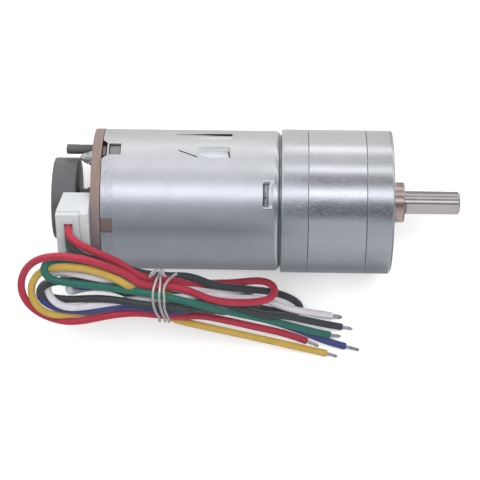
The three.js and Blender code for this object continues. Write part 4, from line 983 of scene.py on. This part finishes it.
COVER_PROFILE = [
    (3.05, -2.4, 0.05), (GEARBOX_BORE, -2.4, 0.3), (GEARBOX_BORE, COVER_BACK, 0.05),
    (GEARBOX_R, COVER_BACK, 0.1), (GEARBOX_R, 0, 0.5), (3.64, 0, 0.08), (3.64, -0.5, 0.04),
    (3.05, -0.5, 0.04),
]
COUNTERBORE = [
    (0, -3), (SCREW_HOLE_R, -3), (SCREW_HOLE_R, -1.25), (1.57, -1.25), (1.57, -0.12),
    (1.72, 0.02), (1.72, 1), (0, 1),
]
gearbox_shell(
    "front_cover_fine", COVER_PROFILE, "plated_steel", "gearbox_front_cover",
    [tapped_hole(y, 0) for y in (8.5, -8.5)]
    + [lathe("cutter", COUNTERBORE, seg=48, y=y, z=z) for y, z in COVER_SCREWS]
    + [rod_cutter(PIN_HOLE_R, -3, -1.3, *hole) for hole in PIN_HOLES],
)

ring_front = COVER_BACK - SEAM
RING_PROFILE = [
    (GEARBOX_BORE, RING_BACK, 0.05), (GEARBOX_R, RING_BACK, 0.1),
    (GEARBOX_R, ring_front, 0.1), (GEARBOX_BORE, ring_front, 0.05),
]
gearbox_shell("gearbox_ring_fine", RING_PROFILE, "ring_steel", "gearbox_ring")

rear_front = RING_BACK - SEAM
rear_inside = GEARBOX_BACK + 2.15
REAR_PROFILE = [
    (3.6, GEARBOX_BACK, 0.05), (GEARBOX_R, GEARBOX_BACK, 0.3), (GEARBOX_R, rear_front, 0.1),
    (GEARBOX_BORE, rear_front, 0.05), (GEARBOX_BORE, rear_inside, 0.2), (3.6, rear_inside, 0.05),
]
MOTOR_SCREW_HOLE = [(0, -21), (1.1, -21), (1.1, -17.95), (1.8, -17.95), (1.8, -16), (0, -16)]
gearbox_shell(
    "rear_cover_fine", REAR_PROFILE, "plated_steel", "gearbox_rear_cover",
    [rod_cutter(SCREW_HOLE_R, GEARBOX_BACK + 0.5, -16, *hole) for hole in COVER_SCREWS]
    + [rod_cutter(PIN_HOLE_R, GEARBOX_BACK + 0.6, -16, *hole) for hole in PIN_HOLES]
    + [lathe("cutter", MOTOR_SCREW_HOLE, seg=40, y=y, z=z) for y, z in MOTOR_SCREWS],
)

BUSH_PROFILE = [
    (2.07, -3.95, 0.1), (3.0, -3.95, 0.1), (3.0, -0.08), (3.5, -0.08, 0.03), (3.5, 2.35, 0.32),
    (2.35, 2.35, 0.05), (2.07, 2.12, 0.03),
]
bush = lathe("output_bush_fine", BUSH_PROFILE, "bronze", 128, closed=True)
place(bush, "output_bush")


def output_shaft():
    """D-cut with a clean run-out, a chamfered tip and a turned centre mark"""
    profile = [
        (0, -8.3), (1.5, -8.3, 0.12), (1.6, -5.7), (SHAFT_R, -5.7, 0.05), (SHAFT_R, -4.55),
        (1.55, -4.55), (1.55, -4.1), (SHAFT_R, -4.1), (SHAFT_R, SHAFT_END - 0.35, 0.06),
        (1.66, SHAFT_END, 0.08), (0.5, SHAFT_END, 0.04), (0.0, SHAFT_END - 0.2),
    ]
    shaft = lathe("output_shaft_fine", profile, "turned_shaft", 128)
    out_y, out_z = around(1, -50)
    side_y, side_z = around(1, 40)
    # (x, height above the axis) of what the flat takes away
    flat = [(2.75, 1.5), (14, 1.5), (14, 3.2), (1.75, 3.2), (2.4, 1.85)]

    def to3d(u, v, w):
        return (u, out_y * v + side_y * w, out_z * v + side_z * w)

    cut(shaft, [prism("cutter", flat, -3, 3, to3d)])
    tidy(shaft, 20)
    round_normals(shaft, SHAFT_R)
    place(shaft, "output_shaft", "output")


output_shaft()


def cover_screw(node, y, z, head_r=1.42, core_r=0.8, tip=-18.5, under=-1.2, top=-0.12, pitch=0.35):
    """A threaded screw with a domed, cross-slotted head"""
    profile = [(0, tip), (core_r - 0.2, tip)]
    x = tip + 0.3
    while x < under - 2.2:
        profile += [(core_r, x), (core_r - 0.1, x + pitch * 0.5)]
        x += pitch
    height = top - under
    profile += [(core_r - 0.05, under - 1.9), (core_r - 0.05, under), (head_r, under)]
    profile += [(head_r, under + height * 0.5)]
    for k in range(1, 7):
        t = k / 6 * pi / 2
        profile.append((head_r * cos(t) if k < 6 else 0, under + height * (0.5 + 0.5 * sin(t))))
    ob = lathe(f"{node}_fine", profile, "screw_metal", 48, y=y, z=z)
    wide, long, deep = head_r * 0.14, head_r * 0.62, height * 0.7

    def slot_point(u, v, s):
        taper = 0.72 + 0.28 * s
        return (top - deep + s * (deep + 0.3), y + u * taper, z + v * taper)

    cutters = [
        prism("cutter", rectangle(span(0, half_y), span(0, half_z)), 0, 1, slot_point)
        for half_y, half_z in ((long, wide), (wide, long))
    ]
    cut(ob, cutters, crossing=True)
    tidy(ob, 30)
    place(ob, node)


for i, (y, z) in enumerate(COVER_SCREWS):
    cover_screw(f"cover_screw_{i + 1}", y, z)

MOTOR_SCREW_PROFILE = [
    (0, -21.55), (0.85, -21.5, 0.1), (0.98, -21.3), (0.98, -17.78), (1.7, -17.78, 0.05),
    (1.7, -17.1, 0.3), (0.8, -16.85), (0.7, -17.3), (0, -17.3),
]
for i, (y, z) in enumerate(MOTOR_SCREWS):
    screw = lathe(f"motor_screw_{i + 1}_fine", MOTOR_SCREW_PROFILE, "screw_metal", 40, y=y, z=z)
    place(screw, f"motor_screw_{i + 1}")

# ---------------------------------------------------------------- motor can


def wall_cutter(outline, r0=10.6):
    """A cutter through the can wall; outline is (x, degrees from +Z towards +Y)"""
    dense = []
    for (x, a), (x2, a2) in zip(outline, outline[1:] + outline[:1]):
        n = max(1, int(abs(a2 - a) / 1.6))
        dense += [(x + (x2 - x) * k / n, a + (a2 - a) * k / n) for k in range(n)]
    return prism("cutter", dense, r0, 13, lambda u, v, w: (u, *around(w, v)))


def bell(value, centre, width):
    return exp(-(((value - centre) / width) ** 2))


def step(value, start, end):
    t = min(1.0, max(0.0, (value - start) / (end - start)))
    return t * t * (3 - 2 * t)


def soft_min(u, v, blend=0.06):
    return -blend * log(exp(-u / blend) + exp(-v / blend))


# Reliefs give the height in mm above the wall at x and a, degrees from +Z towards +Y


def twin_ridges(x, a):
    along = step(x, -36.5, -30.5) * (1 - step(x, -27.75, -27.45))
    return 0.14 * along * bell(a, 60.3, 2.0) + 0.18 * along * bell(a, 66.4, 2.7)


def tongue(x, a):
    """Climbs from a crease to a ridge, then drops in a lip"""
    bow = 1 - abs((x + 30.5) / (3.3 if x < -30.5 else 5.0)) ** 2.2
    width = max(0.0, bow) * (1 - step(x, -28.12, -27.9))
    if width <= 0:
        return 0.0
    height = 0.74
    up = height * width * (47.4 - a) / 7.2
    down = height * (a - (40.2 - 5.8 * width)) / 5.8
    top = soft_min(up, down) if min(up, down) > -0.3 else 0.0
    return max(0.0, top) * step(top, -0.02, 0.12)


def sunk_tab(x, a):
    """Sheared deep at its rear edge, stepping then rising to a rolled rim at the front"""
    oblong = step(a, -7.0, -4.4) * (1 - step(a, 11.4, 14.2))
    if x < -21.95:
        depth = step(x, -22.3, -21.95)
    elif x < -21.5:
        depth = 1.0
    else:
        depth = max(0.0, (1 - 0.66 * step(x, -21.5, -21.26)) * (1 - step(x, -21.15, -20.6)))
    height = -0.56 * oblong * depth
    height += 0.11 * bell(x, -21.84, 0.15) * bell(a, 3.4, 2.0)
    height += 0.1 * step(a, -7.6, -5.6) * (1 - step(a, 13.0, 15.0)) * bell(x, -20.56, 0.14)
    height += 0.06 * bell(x, -22.36, 0.12) * oblong
    ends = bell(a, 14.6, 0.6) + bell(a, -7.2, 0.6)
    height += 0.05 * (1 - step(x, -20.9, -20.2)) * step(x, -22.3, -22.0) * ends
    return height


# pressed details: x range, degree range, cells in each, relief, outlines of slits (x, degrees)
PATCHES = {
    "lance_a": ((-38.2, -26.6), (56.0, 73.4), 120, 70, twin_ridges, [
        [(-37.3, 64.9), (-37.2, 65.6), (-33.0, 65.6), (-27.65, 65.9), (-27.65, 62.9),
         (-30.0, 62.9), (-33.5, 63.9)],
    ]),
    "lance_b": ((-38.2, -26.6), (30.0, 50.5), 140, 90, tongue, [
        [(-36.75, 43.0), (-36.7, 41.8), (-33.6, 35.3), (-33.35, 35.7)],
        [(-28.12, 35.6), (-28.3, 39.8), (-28.02, 39.6), (-27.86, 35.0)],
    ]),
    "front_tab": ((-22.7, -20.27), (-8.5, 16.0), 130, 120, sunk_tab, []),
}
# openings at the can's rear, made on both sides: (x, degrees)
REAR_OPENINGS = [
    [(-51, -16.75), (-51, -28.75), (-47.72, -28.75), (-47.72, -16.75)],
    [(-50.5, 29.6), (-50.5, 59), (-48.85, 50.2), (-48.85, 36.4)],
    [(-48.58, 37.1), (-48.58, 49.7), (-46.55, 49.7), (-46.55, 37.1)],
]


def motor_can():
    seat = CAN_FRONT + 0.11
    inside = CAN_FRONT - 1.0
    rolled = []
    for k in range(13):
        t = radians(60 - 60 * k / 12)
        rolled.append((CAN_R - CAN_ROLL + CAN_ROLL * cos(t), CAN_FRONT - CAN_ROLL + CAN_ROLL * sin(t)))
    profile = [
        (3.5, seat, 0.03), (11.55, seat, 0.02), (11.58, CAN_FRONT - 0.2, 0.02),
        (11.66, CAN_FRONT - 0.2, 0.01), *rolled, (CAN_R, CAN_REAR, 0.16),
        (CAN_BORE, CAN_REAR, 0.12), (CAN_BORE, inside, 0.6), (3.5, inside, 0.05),
    ]
    can = lathe("motor_can_fine", profile, "can_steel", 256, closed=True, corner_steps=10)
    cutters = [
        wall_cutter([(x, turn + a) for x, a in outline])
        for turn in (0, 180) for outline in REAR_OPENINGS
    ]
    cutters += [rod_cutter(1.12, -21, -19, y, z) for y, z in MOTOR_SCREWS]
    for (x0, x1), (a0, a1), *_ in PATCHES.values():
        # each opening is a little smaller than the patch that fills it
        inset = [(x0 + 0.06, a0 + 0.3), (x1 - 0.06, a0 + 0.3), (x1 - 0.06, a1 - 0.3), (x0 + 0.06, a1 - 0.3)]
        cutters.append(wall_cutter(inset))
    cut(can, cutters)
    tidy(can, 32)
    round_normals(can, CAN_R, CAN_BORE)
    place(can, "motor_can")


def wall_radius(x):
    """Outside radius of the can, following its rounded front edge"""
    d = x - (CAN_FRONT - CAN_ROLL)
    return CAN_R if d <= 0 else CAN_R - CAN_ROLL + sqrt(max(0.0, CAN_ROLL ** 2 - d * d))


def can_patch(name, xs, degrees, nx, na, relief, slits):
    """A patch of wall with its own relief, set into an opening in the can"""
    verts, faces = [], []
    for layer in ("outer", "inner"):
        for j in range(na + 1):
            for i in range(nx + 1):
                x = xs[0] + (xs[1] - xs[0]) * i / nx
                a = degrees[0] + (degrees[1] - degrees[0]) * j / na
                inside = 0 < i < nx and 0 < j < na
                height = relief(x, a) if inside else 0
                r = wall_radius(x) + height + 0.003 if layer == "outer" else 11.35
                verts.append((x, *around(r, a)))
    w = nx + 1
    inner = w * (na + 1)
    for j in range(na):
        for i in range(nx):
            quad = (j * w + i, j * w + i + 1, (j + 1) * w + i + 1, (j + 1) * w + i)
            faces += [quad, tuple(inner + k for k in reversed(quad))]
    edge = list(range(w)) + [j * w + nx for j in range(1, na + 1)]
    edge += [na * w + i for i in range(nx - 1, -1, -1)] + [j * w for j in range(na - 1, 0, -1)]
    faces += [(b, a, inner + a, inner + b) for a, b in zip(edge, edge[1:] + edge[:1])]
    ob = make(f"can_{name}", verts, faces, "can_steel", 55)
    if slits:
        cut(ob, [wall_cutter(outline, 10.9) for outline in slits])
        tidy(ob, 50)
    smooth(ob, 50)
    place(ob)


motor_can()
for name, patch in PATCHES.items():
    can_patch(name, *patch)

# ---------------------------------------------------------------- motor tail

CAP_PROFILE = [
    (2.9, -49.7, 0.1), (11.15, -49.7, 0.15), (11.15, -46.2, 0.15), (10.0, -46.2, 0.1),
    (10.0, -48.0, 0.3), (2.9, -48.0, 0.1),
]
cap = lathe("end_cap_fine", CAP_PROFILE, "brown_plastic", closed=True)
cut(cap, [
    box("cutter", (-52, -46), span(side * TERMINAL_Y, 0.42), (-2.6, 2.6)) for side in (1, -1)
])
tidy(cap, 32)
place(cap, "end_cap")


def cap_sector(name, xs, r1, degrees, mat, edge, turn):
    a0, a1 = turn + degrees[0], turn + degrees[1]
    n = max(2, int(abs(a1 - a0) / 2))
    outline = [(r1, a0 + (a1 - a0) * k / n) for k in range(n + 1)]
    outline += [(10.4, a1 + (a0 - a1) * k / n) for k in range(n + 1)]
    ob = prism(f"{name}_{turn}", outline, *xs, lambda u, v, w: (w, *around(u, v)), mat)
    bevel(ob, edge, 2)
    smooth(ob)
    place(ob)


# name, x range, outer radius, degrees, material, bevel
CAP_SECTORS = [
    ("cap_tab", (-49.68, -47.76), 12.17, (-28.6, -16.9), "brown_plastic", 0.05),
    ("cap_key", (-49.68, -49.12), 11.75, (38, 48.2), "brown_plastic", 0.06),
    ("cap_block", (-48.52, -46.62), 11.8, (37.5, 49.3), "grey_block", 0.12),
]
for turn in (0, 180):
    for piece in CAP_SECTORS:
        cap_sector(*piece, turn)

BOARD_PROFILE = [
    (1.7, -51.4, 0.03), (BOARD_R, -51.4, 0.06), (BOARD_R, -49.79, 0.06), (1.7, -49.79, 0.03),
]
board = lathe("encoder_board_fine", BOARD_PROFILE, "board", 200, closed=True, corner_steps=3)
cut(board, [
    box("cutter", (-53, -49), span(sy * TERMINAL_Y, 0.45), span(sz * TERMINAL_Z, 1.05))
    for sy in (1, -1) for sz in (1, -1)
])
tidy(board, 30)
round_normals(board, BOARD_R)
place(board, "encoder_board")

for terminal, side in (("a", 1), ("b", -1)):
    for j, end in enumerate((1, -1)):
        ys, zs = span(side * TERMINAL_Y, 0.22), span(end * TERMINAL_Z, 0.8)
        name = f"motor_terminal_{terminal}_blade_{j}"
        block(name, (-52.2, -49.0), ys, zs, "brass", "brass", 0.08)

DISC_PROFILE = [
    (1.01, -58.3, 0.03), (2.2, -58.3, 0.1), (2.4, -58.6, 0.15), (7.1, -58.6, 0.3),
    (7.1, -54.35, 0.25), (1.75, -54.35, 0.15), (1.7, -52.0, 0.15), (1.01, -52.0, 0.03),
]
disc = lathe("encoder_magnet_fine", DISC_PROFILE, "disc_ferrite", closed=True)
place(disc, "encoder_magnet", "rotor")
ROTOR_PROFILE = [(0, -58.2), (1.0, -58.2, 0.15), (1.0, -14.1, 0.15), (0, -14.1)]
rotor = lathe("motor_shaft_fine", ROTOR_PROFILE, "turned_shaft", 48)
place(rotor, "motor_shaft", "rotor")


def board_part(node):
    """A moulded body with three leads (hall sensors) or two plated ends, sized from its CAD box"""
    lo, hi = [tuple(c / MM for c in corner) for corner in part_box(node)]
    x0, x1 = lo[0] + SHAFT_END, hi[0] + SHAFT_END
    wide = hi[1] - lo[1] >= hi[2] - lo[2]
    (a0, a1), (b0, b1) = [(lo[k], hi[k]) for k in ((1, 2) if wide else (2, 1))]

    def piece(name, xs, along, across, *rest, **named):
        ys, zs = (along, across) if wide else (across, along)
        block(f"{node}_{name}", xs, ys, zs, *rest, **named)

    body = {"edge": 0.12, "segments": 3, "node": node}
    if node.startswith("hall"):
        piece("body", (x0, x1 - 0.08), (a0, a1), (b0, b1), "chip_plastic", "black_plastic", **body)
        for j in range(3):
            along = span((a0 + a1) / 2 + (j - 1) * 1.1, 0.2)
            xs, across = (x1 - 0.35, x1 - 0.02), span(b0 - 0.25, 0.35)
            piece(f"lead_{j}", xs, along, across, "tinned", "solder", 0.06)
        return
    end = 0.16
    looks = ("chip_plastic", "black_plastic") if "resistor" in node else ("ceramic", "ceramic")
    piece("body", (x0 + 0.02, x1), (a0 + end, a1 - end), (b0 + 0.03, b1 - 0.03), *looks, **body)
    for j, along in enumerate(((a0, a0 + end + 0.06), (a1 - end - 0.06, a1))):
        piece(f"end_{j}", (x0, x1), along, (b0, b1), "tinned", "solder", 0.05)


for node in (
    "hall_sensor_a", "hall_sensor_b", "board_resistor_a", "board_resistor_b", "board_capacitor",
):
    board_part(node)

# sleeve over one terminal, and the crinkled cone of solder beside it
SLEEVE_PROFILE = [
    (0, -56.55), (0.5, -56.6, 0.1), (0.86, -56.5, 0.2), (0.87, -55.0), (0.83, -54.0),
    (0.86, -53.0), (0.84, -51.55, 0.15), (0, -51.55),
]
sleeve = lathe("terminal_sleeve_fine", SLEEVE_PROFILE, "black_plastic", 48, y=8.5, z=TERMINAL_Z)
roughen(sleeve, amount=0.05, scale=0.9, seed=3)
place(sleeve, "terminal_sleeve")

cone_profile = [(0.28 + 1.22 * (k / 50) ** 0.85, -54.18 + 2.73 * k / 50) for k in range(51)]
cone_profile = [(0, -54.2), *cone_profile, (0, -51.45)]
cone = lathe("terminal_solder_fine", cone_profile, "solder", 72, y=7.0, z=2.9)
roughen(cone, amount=0.2, scale=1.3, seed=5)
roughen(cone, amount=0.12, scale=3.2, seed=9)
place(cone, "terminal_solder")

# ---------------------------------------------------------------- connector
# Drawn in (out, x, side): out and side are Z and Y turned about X by CONNECTOR_ANGLE


def connector_prism(name, outline, sides, mat=None):
    """outline is (out, x), drawn across side"""
    c, s = cos(radians(CONNECTOR_ANGLE)), sin(radians(CONNECTOR_ANGLE))

    def to3d(out, x, side):
        return (x, c * side - s * out, s * side + c * out)

    return prism(name, outline, *sides, to3d, mat)


def connector_box(name, outs, xs, sides, mat=None):
    return connector_prism(name, rectangle(outs, xs), sides, mat)


def connector_part(ob, flange, flange_edge, cutters, node, body):
    """Joins a bevelled flange to ob, then cuts it"""
    bevel(flange, flange_edge, 3)
    cut(ob, [flange], "UNION")
    cut(ob, cutters)
    tidy(ob, 30)
    place(ob, node, body)


HEADER_OUTLINE = [(7.4, -51.45), (12.7, -51.45), (12.7, -56.95), (7.4, -56.15)]
header = connector_prism(
    "connector_header_fine", HEADER_OUTLINE, (-7.35, 6.95), "ivory_plastic"
)
bevel(header, 0.22, 3)
connector_part(
    header,
    connector_box("cutter", (12.3, 13.55), (-52.95, -51.46), (-7.3, 6.9)), 0.14,
    [
        connector_box("cutter", (8.3, 13.0), (-55.9, -53.0), (-6.6, 6.2)),
        connector_box("cutter", (11.2, 14.0), (-53.4, -52.95), (-7.6, -6.9)),
    ],
    "connector_header", "housing",
)

plug = connector_box(
    "connector_plug_fine", (8.45, 13.0), (-55.82, -53.08), (-6.5, 6.1), "ivory_plastic"
)
bevel(plug, 0.15, 2)
wire_sides = [FIRST_WIRE_SIDE - WIRE_PITCH * i for i in range(len(WIRE_COLOURS))]
connector_part(
    plug,
    connector_box("cutter", (12.78, 13.7), (-56.95, -52.99), (-7.25, 6.85)), 0.18,
    [connector_box("cutter", (12.0, 14), span(WIRE_X, 0.72), span(t, 0.72)) for t in wire_sides],
    "connector_plug", "harness",
)

# ---------------------------------------------------------------- wires

WIRE_SIDES = 22


def place_harness(ob, node=None):
    """On the harness, and left out of what the plated casing mirrors"""
    place(ob, node, "harness")
    ob.visible_glossy = False


def wire_strands(wire, seed, path):
    """Tinned strands: a bent, twisted bundle that starts inside the insulation"""
    stations = 26
    buried = 0.5
    length = buried + (2.5 if wire in ("red", "blue") else 2.0)
    core = 0.36 if wire == "white" else 0.27
    ahead = (path[-1] - path[-4]).normalized()
    start = path[-1] - ahead * buried
    bend = ahead.orthogonal().normalized()
    bend = (bend * cos(seed * 1.7) + ahead.cross(bend) * sin(seed * 1.7)) * 0.12
    points = []
    for i in range(stations + 1):
        t = i / stations
        points.append(start + ahead * (length * t) + bend * (t * t))

    def radius(i, a):
        t = i / stations
        taper = 1 - 0.25 * max(0, (t - 0.8) / 0.2)
        return (core + 0.04 * cos(a * 7 + t * 9)) * taper * (1 + 0.05 * sin(i * 1.3 + seed))

    ob = sweep(f"wire_end_{wire}_fine", points, radius, "tinned", 56, angle=60)
    place_harness(ob, f"wire_end_{wire}")


for i, (wire, text) in enumerate(WIRE_PATHS.items()):
    points = [tuple(map(float, point.split())) for point in text.split(",")]
    path = relaxed(catmull(points, 0.45), 6)
    slot = f"{wire}_wire"
    ob = sweep(f"wire_{wire}_fine", path, WIRE_R, slot, WIRE_SIDES, round_ends=0.22)
    place_harness(ob, f"wire_{wire}")
    wire_strands(wire, i + 1, path)

# The twist tie: three turns bowed round the bundle, with one end turned out and a knot on top.
# The sides over the bundle, (x, y, z), one row of turns each:
TIE_OVER = [
    [(-39.75, -12.45, 4.4), (-40.05, -13.1, 6.0), (-40.42, -14.1, 6.85), (-40.78, -15.5, 7.4),
     (-40.87, -17.0, 7.5), (-40.72, -18.4, 7.25), (-40.3, -19.7, 6.3), (-39.8, -20.7, 4.6)],
    [(-39.7, -12.4, 4.5), (-39.68, -13.1, 6.0), (-39.66, -14.1, 6.75), (-39.7, -15.6, 7.35),
     (-39.8, -17.0, 7.45), (-39.6, -18.5, 7.2), (-39.25, -19.8, 6.3), (-38.85, -20.9, 4.6)],
    [(-38.35, -12.9, 4.6), (-38.55, -13.6, 6.3), (-38.8, -14.45, 7.0), (-39.03, -15.5, 7.4),
     (-38.9, -17.0, 7.5), (-38.93, -18.5, 7.2), (-38.6, -19.8, 6.2), (-38.15, -21.0, 4.6)],
]
# the return that passes under the bundle, (y, z)
TIE_UNDER = [
    (-21.25, 3.3), (-20.6, 2.2), (-19.5, 1.2), (-18.3, 0.6), (-17.0, 0.2), (-15.6, 0.45),
    (-14.2, 0.95), (-13.0, 1.9), (-12.35, 3.2),
]
TIE_START = [(-36.75, -12.75, 8.3), (-37.4, -13.15, 8.05), (-38.0, -13.65, 7.7), (-38.5, -14.2, 7.45)]
TIE_END = [(-39.85, -12.1, 5.4), (-40.0, -12.0, 6.6), (-40.45, -12.35, 7.7), (-40.95, -12.95, 8.1)]
KNOT = [
    (-41.35, -13.35, 7.6), (-40.9, -12.8, 8.15), (-40.3, -12.35, 8.4), (-39.7, -12.35, 8.4),
    (-39.2, -12.7, 8.15), (-38.85, -13.15, 7.5),
]

tie_path = TIE_START + TIE_OVER[2][3:]
for k in (1, 0):
    start, end = TIE_OVER[k + 1][-1][0], TIE_OVER[k][0][0]
    gaps = len(TIE_UNDER) + 1
    tie_path += [
        (start + (end - start) * (i + 1) / gaps, y, z) for i, (y, z) in enumerate(TIE_UNDER)
    ]
    tie_path += TIE_OVER[k]
tie_path += [(-39.9, y, z) for y, z in TIE_UNDER[:-1]] + TIE_END
tie = sweep("twist_tie_fine", relaxed(catmull(tie_path, 0.3), 3), 0.22, "tie_metal", 14)
place_harness(tie, "twist_tie")

knot = sweep(
    "twist_tie_knot", relaxed(catmull(KNOT, 0.12), 2),
    lambda i, a: 0.3 + 0.11 * cos(2 * a + i * 0.42), "tie_metal", 40, angle=60,
)
place_harness(knot)

# everything drawn above moves into the frame
cad_objects = set(frame["nodes"].values())
for ob in list(bpy.context.scene.objects):
    if ob.type == "MESH" and ob not in cad_objects:
        ob.data.transform(Matrix.Translation((-SHAFT_END * MM, 0, 0)))

# nodes shown as they are take the material named by their own slot
for ob in frame["nodes"].values():
    for slot in ob.material_slots:
        key = slot.material.name.split(".")[0] if slot.material else ""
        slot.link = "OBJECT"
        slot.material = MATERIALS.get(key, MATERIALS["gear_steel"])

# ---------------------------------------------------------------- floor and lights


def sheet(name, verts, faces, material):
    """An open mesh in mm, in the frame's own place"""
    mesh = bpy.data.meshes.new(name)
    mesh.from_pydata([tuple(c * MM for c in v) for v in verts], [], faces)
    mesh.materials.append(material)
    return new_object(name, mesh)


def floor_white():
    mat = new_graph("floor_white")
    blotch = mat.remap(mat.noise(mat.pos, scale=0.02, detail=2))
    return mat.principled(
        Base_Color=mat.mix(blotch, (0.88, 0.885, 0.89), (0.91, 0.91, 0.91)),
        Roughness=0.8,
        Specular_IOR_Level=0.1,
        Emission_Color=(1, 1, 1),
        Emission_Strength=0.3,
    )


half = (-900, 900)
floor_verts = [(x, y, FLOOR_Z) for x, y in rectangle(half, half)]
floor = sheet("floor", floor_verts, [(0, 1, 2, 3)], floor_white())
floor.visible_glossy = False
floor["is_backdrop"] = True


def area(name, location, size, power, colour=(1, 1, 1)):
    """A rectangular light aimed at the motor's middle; it isn't mirrored"""
    light = bpy.data.lights.new(name, "AREA")
    light.shape = "RECTANGLE"
    light.size = size[0] * MM
    light.size_y = size[1] * MM
    light.energy = power
    light.color = colour
    ob = new_object(name, light)
    ob.location = Vector(location) * MM - Vector((SHAFT_END * MM, 0, 0))
    aim = Vector((-20, 0, 0)) - Vector(location)
    ob.rotation_euler = aim.to_track_quat("-Z", "Y").to_euler()
    ob.visible_glossy = False


area("key", (-20, 110, 420), size=(420, 260), power=1.5, colour=(1.0, 0.99, 0.985))
area("back", (-20, 420, 170), size=(460, 160), power=0.5)
area("fill", (-20, -380, 160), size=(460, 110), power=0.3, colour=(0.96, 0.98, 1.0))

# A tube of soft strip lights round the motor's axis, seen only in mirroring surfaces.
# Angles are in degrees from straight up towards +Y.
# strips: (angle, half width, strength)
GEAR_STRIPS = [(84, 8, 0.72), (47, 6.5, 0.92), (10.5, 9, 1.4)]
CAN_STRIPS = [(87, 12, 0.2), (52, 12, 0.1), (10.5, 12, 0.84)]
# background: (angle, strength)
GEAR_STEPS = [
    (-122, 0.3), (-100, 0.46), (-66, 0.6), (-30, 0.56), (-20, 0.22), (-4, 0.26), (32, 0.42),
    (62, 0.74), (110, 0.85), (150, 0.72),
]
SHAFT_STEPS = [
    (-160, 0.66), (-120, 0.8), (-76, 0.84), (-50, 0.72), (-36, 0.5), (-24, 0.22), (-4, 0.22),
    (30, 0.3), (64, 0.42), (110, 0.46), (150, 0.36),
]
CAN_STEPS = [
    (-150, 0.26), (-126, 0.29), (-106, 0.41), (-66, 0.41), (-46, 0.27), (-26, 0.44), (-6, 0.56),
    (30, 0.78), (50, 0.96), (100, 0.95), (150, 0.7),
]
# (place round the tube from -180 to 180 degrees, colour)
TINTS = [
    (0.0, (0.9, 0.95, 1.0)), (0.46, (0.87, 0.93, 1.04)), (0.52, (0.93, 0.96, 1.05)),
    (0.6, (0.96, 0.97, 1.03)), (0.75, (1.0, 1.0, 0.99)), (1.0, (1.0, 1.0, 1.0)),
]
FULL_TURN = (-180, 180)
TUBE_R = 75
TUBE_SIDES = 96


def strip_profile(mat, angle, strips, steps):
    stops = [((a + 180) / 360, strength) for a, strength in steps]
    total = mat.ramp(mat.remap(angle, FULL_TURN), stops)
    for centre, width, strength in strips:
        off = mat.math("DIVIDE", mat.math("SUBTRACT", angle, centre), width)
        glow = mat.math("EXPONENT", mat.mul(mat.mul(off, off), -1.0))
        total = mat.add(total, mat.mul(glow, strength))
    return total


def strip_material():
    mat = new_graph("strip_lights")
    x, y, z = mat.xyz(mat.pos)
    angle = mat.mul(mat.math("ARCTAN2", y, z), 180 / pi)
    over_can = mat.remap(x, (-18.2, -19.0))
    over_shaft = mat.mul(mat.remap(x, (5.3, 6.6)), mat.remap(x, (20.5, 24.0), (1, 0)))
    gear = strip_profile(mat, angle, GEAR_STRIPS, GEAR_STEPS)
    shaft = strip_profile(mat, angle, GEAR_STRIPS, SHAFT_STEPS)
    can = strip_profile(mat, angle, CAN_STRIPS, CAN_STEPS)
    light = mat.mix(over_can, mat.mix(over_shaft, gear, shaft), can)
    tint = mat.ramp(mat.remap(angle, FULL_TURN), TINTS)
    tint = mat.mix(over_shaft, tint, (1.0, 0.985, 0.985))
    colour = mat.mix(1.0, light, tint, "MULTIPLY")
    material = mat.surface(mat.node("Emission", [colour]))
    material.cycles.emission_sampling = "NONE"
    return material


tube_verts, tube_faces = [], []
for i in range(TUBE_SIDES):
    a = 2 * pi * i / TUBE_SIDES
    tube_verts += [(x, TUBE_R * sin(a), TUBE_R * cos(a)) for x in (-190, 150)]
    this, following = 2 * i, 2 * ((i + 1) % TUBE_SIDES)
    tube_faces.append((this, this + 1, following + 1, following))
tube = sheet("strip_lights", tube_verts, tube_faces, strip_material())
for ray in ("camera", "diffuse", "transmission", "volume_scatter", "shadow"):
    setattr(tube, "visible_" + ray, False)
tube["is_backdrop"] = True

# ---------------------------------------------------------------- world and camera

scene = bpy.context.scene
scene.world = scene.world or bpy.data.worlds.new("world")
sky = Graph(scene.world)
direction = sky.xyz(sky.node("TexCoord").outputs["Generated"])
# grey, brighter towards +Y
grey = sky.remap(direction[1], span=(-1.0, 1.0), to=(0.5, 0.85))
sky_colour = sky.node("CombineColor", [grey] * 3).outputs[0]
background = sky.node("Background", [sky_colour, 0.75])
sky.node("OutputWorld", [background.outputs[0]])

lens = bpy.data.cameras.new("camera")
lens.lens = 135.39
lens.sensor_width = 36
lens.clip_start = 0.01
lens.clip_end = 5
camera = new_object("camera", lens)
# looks down from above, turned by small angles about X, Y and Z in that order
view = Euler((0.008, -0.016, -0.0138), "XYZ").to_matrix().transposed().to_4x4()
view.translation = Vector((-21.14 - SHAFT_END, -4.43, 315.94)) * MM
camera.matrix_world = view
scene.camera = camera
scene.view_settings.view_transform = "Standard"
scene.view_settings.look = "None"

{"cad": CAD_BOX, "visual": plain(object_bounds())}
